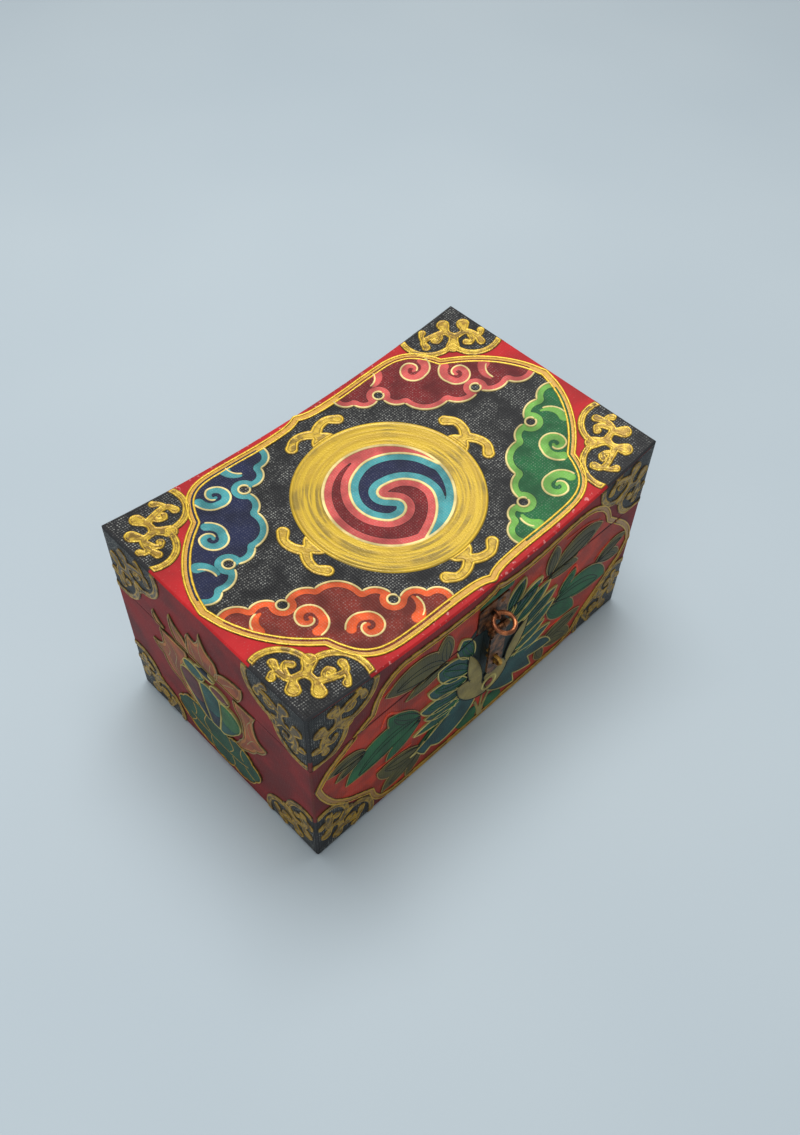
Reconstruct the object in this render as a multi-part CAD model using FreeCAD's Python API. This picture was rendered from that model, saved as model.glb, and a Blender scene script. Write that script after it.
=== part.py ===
"""Painted wooden keepsake box with a dished hinged lid, back hinges and a front hasp.

Millimetres. The origin is the middle of the underside, +Z is up, +X runs along the
length and the hasp is on the front, which faces -Y.
"""

import FreeCAD, Part
import math
import os

Vec = FreeCAD.Vector

# Box
box_length = 180.0
box_width = 111.0
base_height = 68.0
lid_height = 35.0
board = 8.0
bottom_thickness = 6.0
edge_round = 0.9
rim_wear = 0.7
seam_gap = 0.4

# Lid top, which dips along its length between its two raised ends
front_dip = 9.0
back_dip = 6.5
top_thinnest = 7.0

# Back hinges
hinge_from_end = 34.0
hinge_length = 24.0
hinge_leaf_drop = 12.0
hinge_leaf_thickness = 0.8
hinge_pin_radius = 0.8
hinge_knuckle_wall = 0.8
hinge_middle_knuckle = 9.0
hinge_air = 0.4
hinge_nail_from_end = 4.0
hinge_nail_from_edge = 4.0

# Nails
nail_shank_half = 0.6
nail_grip = 5.0
nail_head_radius = 1.5
nail_crown_radius = 0.8
nail_head_height = 0.6
nail_head_sides = 8

# Hasp plate and its knuckles
hasp_offset = 0.0
plate_width = 16.4
plate_height = 14.0
plate_thickness = 0.8
plate_corner = 1.2
plate_above_seam = 0.8
plate_nail_inset = 3.4
plate_nail_height = 11.0
hasp_pin_radius = 0.7
hasp_pin_head_radius = 1.1
hasp_pin_head_length = 0.5
hasp_knuckle_wall = 0.8
hasp_axis_out = 4.0
hasp_axis_above_seam = 1.3
hasp_outer_knuckle = 2.4
hasp_middle_knuckle = 3.6
arm_start_height = 3.6

# Hasp strap, hanging from the knuckles and slotted over the staple
strap_width = 8.5
strap_thickness = 0.8
strap_neck_length = 3.2
strap_reach = 29.2
slot_air = 0.45

# Staple on the base
staple_wire_radius = 0.8
staple_leg_gap = 3.6
staple_out = 8.0
staple_drop = 20.4
staple_drive = 6.0

# Pull ring and its eye
ring_wire_radius = 0.9
ring_radius = 4.2
ring_tilt = 15.0
eye_wire_radius = 0.45
eye_height = 7.0
eye_drive = 5.0
eye_air = 0.3

# Sides of the section of a bent wire
wire_sides = 10

# Running clearances
pin_air = 0.05
knuckle_air = 0.3

# Places that follow from the sizes
half_length = box_length / 2
half_width = box_width / 2
seam_low = base_height
seam_high = base_height + seam_gap
lid_top = base_height + lid_height
top_stock = top_thinnest + max(front_dip, back_dip)
top_underside = lid_top - top_stock
front_face = -half_width
back_face = half_width
hinge_knuckle_radius = hinge_pin_radius + hinge_knuckle_wall
hinge_y = back_face + hinge_knuckle_radius + hinge_air
hinge_z = base_height + seam_gap / 2
hinge_x = half_length - hinge_from_end
hinge_clear = hinge_knuckle_radius + hinge_air
plate_low = seam_high + plate_above_seam
hasp_knuckle_radius = hasp_pin_radius + hasp_knuckle_wall
hasp_y = front_face - hasp_axis_out
hasp_z = seam_high + hasp_axis_above_seam
staple_z = hasp_z - staple_drop
eye_inner_radius = ring_wire_radius + eye_air
eye_bend_radius = eye_inner_radius + eye_wire_radius
eye_y = front_face - plate_thickness - eye_inner_radius
eye_z = plate_low + eye_height


def block(x_low, x_high, y_low, y_high, z_low, z_high):
    """A plain rectangular block between the given limits."""
    corner = Vec(x_low, y_low, z_low)
    return Part.makeBox(x_high - x_low, y_high - y_low, z_high - z_low, corner)


def rod_x(x_low, x_high, y, z, radius):
    """A round rod lying along X."""
    return Part.makeCylinder(radius, x_high - x_low, Vec(x_low, y, z), Vec(1, 0, 0))


def rod_y(x, y_low, y_high, z, radius):
    """A round rod lying along Y."""
    return Part.makeCylinder(radius, y_high - y_low, Vec(x, y_low, z), Vec(0, 1, 0))


def rounded(solid, chosen):
    """The solid with the worn rounding on each edge that chosen accepts."""
    edges = [edge for edge in solid.Edges if chosen(edge)]
    return solid.makeFillet(edge_round, edges)


def at_end(box):
    """True for an edge that lies wholly in one of the two end faces."""
    return box.XLength < 0.01 and abs(abs(box.XMin) - half_length) < 0.01


def in_face(box, face_y):
    """True for an edge that lies wholly in the front or the back face."""
    return box.YLength < 0.01 and abs(box.YMin - face_y) < 0.01


def long_wall(face_y, z_low, z_high, round_bottom):
    """A front or back wall of the full length, worn round on its outer edges."""
    inward = math.copysign(board, -face_y)
    y_low = min(face_y, face_y + inward)
    wall = block(-half_length, half_length, y_low, y_low + board, z_low, z_high)

    def worn(edge):
        box = edge.BoundBox
        upright = at_end(box) and in_face(box, face_y)
        foot = round_bottom and box.ZLength < 0.01 and abs(box.ZMin - z_low) < 0.01
        return upright or (foot and (at_end(box) or in_face(box, face_y)))

    return rounded(wall, worn)


def end_wall(side, z_low, z_high, round_bottom):
    """A wall of one end, set between the long walls."""
    x_outer = side * half_length
    x_inner = x_outer - side * board
    y_inner = half_width - board
    wall = block(min(x_outer, x_inner), max(x_outer, x_inner), -y_inner, y_inner, z_low, z_high)
    if not round_bottom:
        return wall

    def worn(edge):
        box = edge.BoundBox
        return at_end(box) and box.ZLength < 0.01 and abs(box.ZMin - z_low) < 0.01

    return rounded(wall, worn)


def dished_outline(y, dip):
    """The lid top's section at one y: flat below, a shallow arc above."""
    low_left = Vec(-half_length, y, top_underside)
    low_right = Vec(half_length, y, top_underside)
    high_right = Vec(half_length, y, lid_top)
    high_left = Vec(-half_length, y, lid_top)
    middle = Vec(0, y, lid_top - dip)
    edges = [
        Part.LineSegment(low_left, low_right).toShape(),
        Part.LineSegment(low_right, high_right).toShape(),
        Part.Arc(high_right, middle, high_left).toShape(),
        Part.LineSegment(high_left, low_left).toShape(),
    ]
    return Part.Wire(edges)


def lid_top_panel():
    """The thick top: a ruled loft from the front section to the back one, worn along its rim and corners."""
    front = dished_outline(front_face, front_dip)
    back = dished_outline(back_face, back_dip)
    panel = Part.makeLoft([front, back], True, True)
    rim = [edge for edge in panel.Edges if edge.BoundBox.ZMin > top_underside + edge_round]
    worn_panel = panel.makeChamfer(rim_wear, rim)
    stock = block(-half_length, half_length, front_face, back_face, top_underside, lid_top)
    uprights = rounded(stock, lambda edge: edge.BoundBox.ZLength > edge_round)
    return worn_panel.common(uprights)


def polygon(centre, radius, sides, first, second):
    """A closed regular outline round centre, in the plane of the directions first and second."""
    points = []
    for step in range(sides + 1):
        angle = 2 * math.pi * (step + 0.5) / sides
        points.append(centre + first * (radius * math.cos(angle)) + second * (radius * math.sin(angle)))
    return Part.makePolygon(points)


def nail(x, face_y, outward, z):
    """A forged nail with a square shank, whose faceted head sits on face_y and points along outward."""
    side = nail_shank_half
    shank = block(-side, side, -side, side, -nail_grip, 0)
    foot = polygon(Vec(0, 0, 0), nail_head_radius, nail_head_sides, Vec(1, 0, 0), Vec(0, 1, 0))
    crown_centre = Vec(0, 0, nail_head_height)
    crown = polygon(crown_centre, nail_crown_radius, nail_head_sides, Vec(1, 0, 0), Vec(0, 1, 0))
    head = Part.makeLoft([foot, crown], True, True)
    forged = shank.fuse(head).removeSplitter()
    turn = FreeCAD.Rotation(Vec(0, 0, 1), Vec(0, outward, 0))
    forged.Placement = FreeCAD.Placement(Vec(x, face_y, z), turn)
    return forged


def hinge_nail_places(x_middle, up):
    """Where the two nails of one hinge leaf go: up is 1 on the lid and -1 on the base."""
    reach = hinge_length / 2 - hinge_nail_from_end
    z = hinge_z + up * (hinge_clear + hinge_leaf_drop - hinge_nail_from_edge)
    return [(x_middle - reach, z), (x_middle + reach, z)]


def hinge_leaf(x_middle, up):
    """One leaf of a hinge: the base has the two outer knuckles and the lid the middle one."""
    half = hinge_length / 2
    half_middle = hinge_middle_knuckle / 2
    z_near = hinge_z + up * hinge_clear
    z_far = z_near + up * hinge_leaf_drop
    y_high = back_face + hinge_leaf_thickness
    leaf = block(x_middle - half, x_middle + half, back_face, y_high, min(z_near, z_far), max(z_near, z_far))
    if up > 0:
        spans = [(x_middle - half_middle, x_middle + half_middle)]
        bore = hinge_pin_radius + pin_air
    else:
        inner = half_middle + knuckle_air
        spans = [(x_middle - half, x_middle - inner), (x_middle + inner, x_middle + half)]
        bore = hinge_pin_radius
    for x_low, x_high in spans:
        tab = block(x_low, x_high, back_face, y_high, min(hinge_z, z_near), max(hinge_z, z_near))
        knuckle = rod_x(x_low, x_high, hinge_y, hinge_z, hinge_knuckle_radius)
        leaf = leaf.fuse([tab, knuckle])
    leaf = leaf.cut(rod_x(x_middle - half, x_middle + half, hinge_y, hinge_z, bore))
    return leaf.removeSplitter()


def hasp_knuckle_spans():
    """The X limits of the plate's left knuckle, the strap's knuckle and the plate's right one."""
    inner = hasp_middle_knuckle / 2
    start = inner + knuckle_air
    end = start + hasp_outer_knuckle
    left = (hasp_offset - end, hasp_offset - start)
    middle = (hasp_offset - inner, hasp_offset + inner)
    right = (hasp_offset + start, hasp_offset + end)
    return left, middle, right


def hasp_lid_plate():
    """The plate on the lid, with two arms that bend out to its knuckles."""
    left, middle, right = hasp_knuckle_spans()
    x_low = hasp_offset - plate_width / 2
    outer_y = front_face - plate_thickness
    plate = block(x_low, x_low + plate_width, outer_y, front_face, plate_low, plate_low + plate_height)
    corners = [edge for edge in plate.Edges if edge.BoundBox.YLength > plate_thickness / 2]
    plate = plate.makeFillet(plate_corner, corners)
    start = Vec(0, front_face - plate_thickness / 2, plate_low + arm_start_height)
    finish = Vec(0, hasp_y, hasp_z)
    along = finish - start
    across = Vec(0, -along.z, along.y).normalize() * (plate_thickness / 2)
    for x_from, x_to in (left, right):
        shift = Vec(x_from, 0, 0)
        points = [start + across, finish + across, finish - across, start - across]
        outline = Part.makePolygon([point + shift for point in points + points[:1]])
        arm = Part.Face(outline).extrude(Vec(x_to - x_from, 0, 0))
        knuckle = rod_x(x_from, x_to, hasp_y, hasp_z, hasp_knuckle_radius)
        plate = plate.fuse([arm, knuckle])
    plate = plate.cut(rod_x(left[0], right[1], hasp_y, hasp_z, hasp_pin_radius))
    return plate.removeSplitter()


def hasp_pin():
    """The pin through the hasp's knuckles, with a small head at each end."""
    left, middle, right = hasp_knuckle_spans()
    pin = rod_x(left[0], right[1], hasp_y, hasp_z, hasp_pin_radius)
    head_left = rod_x(left[0] - hasp_pin_head_length, left[0], hasp_y, hasp_z, hasp_pin_head_radius)
    head_right = rod_x(right[1], right[1] + hasp_pin_head_length, hasp_y, hasp_z, hasp_pin_head_radius)
    return pin.fuse([head_left, head_right]).removeSplitter()


def upright_slot(z_middle, half_height, radius, y_low, y_high):
    """A cutter for a round-ended slot that stands upright at the hasp's middle."""
    straight = half_height - radius
    body = block(hasp_offset - radius, hasp_offset + radius, y_low, y_high, z_middle - straight, z_middle + straight)
    top = rod_y(hasp_offset, y_low, y_high, z_middle + straight, radius)
    bottom = rod_y(hasp_offset, y_low, y_high, z_middle - straight, radius)
    return body.fuse([top, bottom])


def hasp_strap():
    """The hanging strap: a neck at its knuckle, a round end and a slot for the staple."""
    middle = hasp_knuckle_spans()[1]
    y_low = hasp_y - strap_thickness / 2
    y_high = hasp_y + strap_thickness / 2
    half = strap_width / 2
    neck_z = hasp_z - strap_neck_length
    round_z = hasp_z - strap_reach + half
    neck = block(middle[0], middle[1], y_low, y_high, neck_z, hasp_z)
    body = block(hasp_offset - half, hasp_offset + half, y_low, y_high, round_z, neck_z)
    end = rod_y(hasp_offset, y_low, y_high, round_z, half)
    knuckle = rod_x(middle[0], middle[1], hasp_y, hasp_z, hasp_knuckle_radius)
    strap = knuckle.fuse([neck, body, end])
    staple_half = staple_leg_gap / 2 + staple_wire_radius
    slot = upright_slot(staple_z, staple_half + 2 * slot_air, staple_wire_radius + slot_air, y_low, y_high)
    bore = rod_x(middle[0], middle[1], hasp_y, hasp_z, hasp_pin_radius + pin_air)
    return strap.cut([slot, bore]).removeSplitter()


def wire_loop(x, y_root, y_bend, z_middle, bend_radius, wire_radius):
    """Two legs along Y, one above the other, joined by a half-round bend beyond y_bend."""
    top_root = Vec(x, y_root, z_middle + bend_radius)
    top_bend = Vec(x, y_bend, z_middle + bend_radius)
    tip = Vec(x, y_bend - bend_radius, z_middle)
    low_bend = Vec(x, y_bend, z_middle - bend_radius)
    low_root = Vec(x, y_root, z_middle - bend_radius)
    path = Part.Wire([
        Part.LineSegment(top_root, top_bend).toShape(),
        Part.Arc(top_bend, tip, low_bend).toShape(),
        Part.LineSegment(low_bend, low_root).toShape(),
    ])
    section = polygon(top_root, wire_radius, wire_sides, Vec(1, 0, 0), Vec(0, 0, 1))
    return path.makePipeShell([section], True, True)


def hasp_staple():
    """The staple on the base, which comes out through the strap's slot."""
    bend_radius = staple_leg_gap / 2
    y_bend = front_face - staple_out + bend_radius + staple_wire_radius
    y_root = front_face + staple_drive
    return wire_loop(hasp_offset, y_root, y_bend, staple_z, bend_radius, staple_wire_radius)


def pull_ring_eye():
    """The small wire eye through the plate that holds the pull ring."""
    y_root = front_face + eye_drive
    return wire_loop(hasp_offset, y_root, eye_y, eye_z, eye_bend_radius, eye_wire_radius)


def pull_ring():
    """The ring, which hangs a little below level from its eye."""
    tilt = math.radians(ring_tilt)
    outward = Vec(0, -math.cos(tilt), -math.sin(tilt))
    normal = Vec(0, -math.sin(tilt), math.cos(tilt))
    centre = Vec(hasp_offset, eye_y, eye_z) + outward * ring_radius
    section = polygon(centre + outward * ring_radius, ring_wire_radius, wire_sides, outward, normal)
    return Part.Face(section).revolve(centre, normal, 360)


def export(name, shape):
    """Write one node's solid or group of solids."""
    shape.exportStep(f"parts/{name}.step")
    print(name, round(shape.Volume, 1), "mm3", len(shape.Solids), "solid(s)", shape.isValid())


os.makedirs("parts", exist_ok=True)

# Fasteners and wire first, because their holes are cut in what they pass through
hinge_outer = back_face + hinge_leaf_thickness
hinge_sides = (("left", -hinge_x), ("right", hinge_x))
base_nails = []
lid_nails = []
for side_name, x_middle in hinge_sides:
    base_nails += [nail(x, hinge_outer, 1, z) for x, z in hinge_nail_places(x_middle, -1)]
    lid_nails += [nail(x, hinge_outer, 1, z) for x, z in hinge_nail_places(x_middle, 1)]

plate_outer = front_face - plate_thickness
plate_nail_x = plate_width / 2 - plate_nail_inset
plate_nails = []
for side in (-1, 1):
    plate_nails.append(nail(hasp_offset + side * plate_nail_x, plate_outer, -1, plate_low + plate_nail_height))

staple = hasp_staple()
eye = pull_ring_eye()

# Base
export("base_front_board", long_wall(front_face, 0, seam_low, True).cut(staple))
export("base_back_board", long_wall(back_face, 0, seam_low, True).cut(base_nails))
export("base_left_end", end_wall(-1, 0, seam_low, True))
export("base_right_end", end_wall(1, 0, seam_low, True))
inner_x = half_length - board
inner_y = half_width - board
export("base_bottom_panel", block(-inner_x, inner_x, -inner_y, inner_y, 0, bottom_thickness))

# Lid
lid_fixings = plate_nails + lid_nails + [eye]
export("lid_top_panel", lid_top_panel().cut(lid_fixings))
export("lid_front_rail", long_wall(front_face, seam_high, top_underside, False).cut(lid_fixings))
export("lid_back_rail", long_wall(back_face, seam_high, top_underside, False).cut(lid_fixings))
export("lid_left_rail", end_wall(-1, seam_high, top_underside, False))
export("lid_right_rail", end_wall(1, seam_high, top_underside, False))

# Hinges
for side_name, x_middle in hinge_sides:
    export(f"{side_name}_hinge_base_leaf", hinge_leaf(x_middle, -1).cut(base_nails))
    export(f"{side_name}_hinge_lid_leaf", hinge_leaf(x_middle, 1).cut(lid_nails))
    half = hinge_length / 2
    pin = rod_x(x_middle - half, x_middle + half, hinge_y, hinge_z, hinge_pin_radius)
    export(f"{side_name}_hinge_pin", pin)
export("hinge_base_nails", Part.makeCompound(base_nails))
export("hinge_lid_nails", Part.makeCompound(lid_nails))

# Hasp
export("hasp_lid_plate", hasp_lid_plate().cut(plate_nails + [eye]))
export("hasp_plate_nails", Part.makeCompound(plate_nails))
export("hasp_hinge_pin", hasp_pin())
export("hasp_strap", hasp_strap())
export("hasp_staple", staple)
export("pull_ring_eye", eye)
export("pull_ring", pull_ring())
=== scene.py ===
# %% [markdown]
# # A painted keepsake box with a dished lid
# The box is a wooden casket. Its boards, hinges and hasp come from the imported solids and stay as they
# are. What is built here is everything the painter added: a black ground, raised gilded lines, four
# clouds, a swirl in a gold medallion, scrolled corners, a lotus on the front and flaming jewels on the
# ends. All drawing is in millimetres on a flat sheet for each face, and a face map lays the sheet on the
# wood.

# %% Load the frame and read its sizes
import math

import bpy
import numpy as np
from mathutils import Matrix, Vector


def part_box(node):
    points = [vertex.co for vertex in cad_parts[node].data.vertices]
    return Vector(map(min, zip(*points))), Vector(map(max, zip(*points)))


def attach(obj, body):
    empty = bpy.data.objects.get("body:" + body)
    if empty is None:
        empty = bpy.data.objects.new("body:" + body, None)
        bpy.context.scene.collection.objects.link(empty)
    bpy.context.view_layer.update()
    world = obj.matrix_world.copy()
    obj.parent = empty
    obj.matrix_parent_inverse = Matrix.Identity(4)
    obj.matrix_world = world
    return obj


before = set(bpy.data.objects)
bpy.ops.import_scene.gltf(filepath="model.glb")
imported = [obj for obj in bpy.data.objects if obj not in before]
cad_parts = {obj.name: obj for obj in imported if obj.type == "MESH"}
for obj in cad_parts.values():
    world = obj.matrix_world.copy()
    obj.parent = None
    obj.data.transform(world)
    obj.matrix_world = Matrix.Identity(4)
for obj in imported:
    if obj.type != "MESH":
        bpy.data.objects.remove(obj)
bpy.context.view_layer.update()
MM = 0.001


def node_limits(node):
    """A node's lowest and highest corner in millimetres."""
    low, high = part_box(node)
    return np.array(low) / MM, np.array(high) / MM


(_, FRONT_Y, _), (HALF_LENGTH, _, SEAM_LOW) = node_limits("base_front_board")
BACK_Y = node_limits("base_back_board")[1][1]
SEAM_HIGH = node_limits("lid_front_rail")[0][2]
INNER_X, INNER_Y, _ = node_limits("base_bottom_panel")[1]
print("half length", HALF_LENGTH, "front", FRONT_Y, "back", BACK_Y, "seam", SEAM_LOW, SEAM_HIGH)

# %% [markdown]
# ## Laying a flat drawing on each face
# The lid's top is not flat: it dips along its length, more at the front edge than at the back. A flat
# drawing could be projected with a modifier, but a formula is exact. Each face map takes a drawing's two
# coordinates and a height, and gives points in the box's own frame.

# %% Face maps
LID_TOP = 103.0
FRONT_DIP = 9.0
BACK_DIP = 6.5


def arc_depth(x, dip):
    """How far a shallow arc with the given dip in its middle lies below its two ends, at x."""
    radius = (HALF_LENGTH ** 2 + dip ** 2) / (2 * dip)
    return dip - radius + np.sqrt(radius ** 2 - np.clip(np.abs(x), 0, HALF_LENGTH) ** 2)


def lid_height(x, y):
    """The lid's top: the front arc and the back arc, mixed in proportion to the way across."""
    across = (y - FRONT_Y) / (BACK_Y - FRONT_Y)
    return LID_TOP - (1 - across) * arc_depth(x, FRONT_DIP) - across * arc_depth(x, BACK_DIP)


def on_top(u, v, h):
    """u runs right and v runs back on the lid's top; h is the height above it."""
    return np.stack([u, v, lid_height(u, v) + h], -1)


def on_front(u, v, h):
    """u runs right and v runs up on the front; h stands out of it."""
    return np.stack([u, FRONT_Y - h, v], -1)


def on_back(u, v, h):
    """u runs right, seen from behind, and v runs up; h stands out of the back."""
    return np.stack([-u, BACK_Y + h, v], -1)


def on_left(u, v, h):
    """u runs to the front and v runs up on the left end; h stands out of it."""
    return np.stack([-HALF_LENGTH - h, -u, v], -1)


def on_right(u, v, h):
    """u runs to the back and v runs up on the right end; h stands out of it."""
    return np.stack([HALF_LENGTH + h, u, v], -1)


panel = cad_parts["lid_top_panel"].data
panel_points = np.empty(len(panel.vertices) * 3)
panel.vertices.foreach_get("co", panel_points)
panel_points = panel_points.reshape(-1, 3) / MM
above = panel_points[:, 2] - lid_height(panel_points[:, 0], panel_points[:, 1])
print("the solid stands at most", round(float(above.max()), 3), "mm above the lid formula")

# %% [markdown]
# ## Curves
# A painter's line is a few chosen points joined by smooth bends. Two kinds do most of the work here: a
# spline through points, and a chain of arcs that meet in sharp tips. Both are resampled to even steps.

# %% Curve helpers
LINE_STEP = 0.35


def even(path, step=LINE_STEP):
    """The same path with points an even step apart along its length."""
    path = np.asarray(path, float)
    run = np.concatenate([[0], np.cumsum(np.hypot(*np.diff(path, axis=0).T))])
    count = max(int(run[-1] / step), 4)
    along = np.linspace(0, run[-1], count + 1)
    return np.stack([np.interp(along, run, path[:, 0]), np.interp(along, run, path[:, 1])], -1)


def spline(points, fine=24):
    """A smooth curve through the points: each span is the cubic that shares its neighbours' slopes."""
    points = np.asarray(points, float)
    padded = np.vstack([2 * points[0] - points[1], points, 2 * points[-1] - points[-2]])
    before, start, end, after = padded[:-3], padded[1:-2], padded[2:-1], padded[3:]
    t = np.linspace(0, 1, fine, endpoint=False)[None, :, None]
    before, start, end, after = (p[:, None, :] for p in (before, start, end, after))
    span = 0.5 * (2 * start + (end - before) * t + (2 * before - 5 * start + 4 * end - after) * t ** 2
                  + (3 * start - before - 3 * end + after) * t ** 3)
    return even(np.vstack([span.reshape(-1, 2), points[-1:]]))


def arc(start, end, bulge, fine=24):
    """An arc between two points that swells to the right of the way by bulge times their distance."""
    start, end = np.asarray(start, float), np.asarray(end, float)
    chord = end - start
    side = np.array([chord[1], -chord[0]])
    t = np.linspace(0, 1, fine)[:, None]
    half = 2 * math.atan(2 * abs(bulge) + 1e-6)
    turn = (2 * t - 1) * half
    swell = (np.cos(turn) - math.cos(half)) / (1 - math.cos(half))
    along = 0.5 + 0.5 * np.sin(turn) / math.sin(half)
    return start + chord * along + side * bulge * swell


def chain(points, bulges, closed=False):
    """Arcs from point to point, each with its own bulge, meeting in sharp tips."""
    ends = list(points[1:]) + ([points[0]] if closed else [])
    pieces = [arc(a, b, c) for a, b, c in zip(points, ends, bulges)]
    return even(np.vstack(pieces))


def mirrored(path, flip_u, flip_v):
    """The path reflected, with flips of 1 or -1."""
    return np.asarray(path, float) * (flip_u, flip_v)


def closed_loop(path):
    """The path with its first point again at its end."""
    return np.vstack([path, path[:1]])


# %% [markdown]
# ## Distances, which give shapes with crisp edges
# A painted patch of any outline can be cut from a fine grid when the signed distance to its outline is
# known: negative inside, positive outside. The same distance also rounds the patch's top and can be
# shrunk to draw a patch inside a patch, which is how each cloud gets its darker core.

# %% Distance helpers
BLOCK = 4096
PATCH_MARGIN = 0.6
STROKE_MARGIN = 3.5


def far_from(path, u, v, half_widths=None):
    """Distance from each place to a path, less the path's own half width there."""
    places = np.stack([np.ravel(u), np.ravel(v)], -1)
    start, step = path[:-1], np.diff(path, axis=0)
    length = np.maximum((step ** 2).sum(1), 1e-9)
    out = np.empty(len(places))
    for low in range(0, len(places), BLOCK):
        gap = places[low:low + BLOCK, None, :] - start
        t = np.clip((gap * step).sum(-1) / length, 0, 1)
        apart = np.sqrt(((gap - t[..., None] * step) ** 2).sum(-1))
        if half_widths is not None:
            apart = apart - (half_widths[:-1] + t * np.diff(half_widths))
        out[low:low + BLOCK] = apart.min(1)
    return out.reshape(np.shape(u))


def within(outline, u, v):
    """True inside a closed outline: a ray from such a place crosses it an odd number of times."""
    places = np.stack([np.ravel(u), np.ravel(v)], -1)
    start, end = outline, np.roll(outline, -1, axis=0)
    rise = np.where(end[:, 1] == start[:, 1], 1e-9, end[:, 1] - start[:, 1])
    out = np.empty(len(places), bool)
    for low in range(0, len(places), BLOCK):
        x = places[low:low + BLOCK, :1]
        y = places[low:low + BLOCK, 1:]
        spans = (start[:, 1] > y) != (end[:, 1] > y)
        left = x < start[:, 0] + (end[:, 0] - start[:, 0]) * (y - start[:, 1]) / rise
        out[low:low + BLOCK] = (spans & left).sum(1) % 2 == 1
    return out.reshape(np.shape(u))


def patch(outline):
    """The signed distance of a closed outline, as a function of the two drawing coordinates."""
    coarse = outline[::2]
    ring = closed_loop(coarse)
    shape = lambda u, v: far_from(ring, u, v) * np.where(within(coarse, u, v), -1, 1)
    return shape, limits(outline, PATCH_MARGIN)


def strokes(lines):
    """The signed distance of brush strokes, each a path with half widths at even places along it."""
    ready = [(path, np.interp(np.linspace(0, 1, len(path)), np.linspace(0, 1, len(widths)), widths))
             for path, widths in ((np.vstack([path[:-1:2], path[-1:]]), widths) for path, widths in lines)]
    shape = lambda u, v: np.min([far_from(path, u, v, half) for path, half in ready], axis=0)
    return shape, limits(np.vstack([path for path, half in ready]), STROKE_MARGIN)


def limits(points, margin):
    """A box round the points, grown by a margin."""
    return np.concatenate([points.min(0) - margin, points.max(0) + margin])


# %% [markdown]
# ## Making reliefs
# Most of the painter's work is flat patches of gesso and paint with a soft edge. A remesh or a Boolean
# would leave ragged rims, so a relief is a grid trimmed to a shape: its rim is pulled onto the outline,
# its top rounds off towards the rim, and it is closed below. It stores how high each point lies, so that
# a finish can darken the hollows with dirt and painted shade, and brighten the crests with rubbing and a
# painted highlight.

# %% Relief helpers
SUNK = 0.12
BEAD_SIDES = 7
SHARP_ANGLE = 42
FIELD_STEP = 1.2
GROUND_STEP = 0.6
PAINT_STEP = 0.45
FINE_STEP = 0.4
RIM_REACH = 0.3
RIM_PULLS = 2
LEAST_SLOPE = 0.3
SHORTEST_RUN = 4
# The cord's lift is low in its groove and high on its raised line, so the finishes paint shade into the
# groove and a highlight onto the line.
CORD_DEPTH = np.array([0.0, 0.35, 0.65, 0.95, 1.3, 1.75])
CORD_RISE = [0.15, 0.85, 1.0, 0.85, 0.45, 0.62]
CORD_LIFT = [0.0, 0.35, 1.0, 0.85, 0.05, 0.7]


def add_piece(name, points, faces, lift, paint, body):
    """Puts points and faces into a mesh that rides on a body; lift is kept as an attribute."""
    mesh = bpy.data.meshes.new(name)
    mesh.from_pydata(points * MM, [], [face.tolist() for group in faces for face in group])
    mesh.polygons.foreach_set("use_smooth", np.ones(len(mesh.polygons), bool))
    mesh.set_sharp_from_angle(angle=math.radians(SHARP_ANGLE))
    kept = mesh.attributes.new("lift", "FLOAT", "POINT")
    kept.data.foreach_set("value", np.asarray(lift, np.float32))
    mesh.materials.append(paint)
    piece = bpy.data.objects.new(name, mesh)
    bpy.context.collection.objects.link(piece)
    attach(piece, body)
    print(name, len(points), "points,", len(mesh.polygons), "faces")


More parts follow.
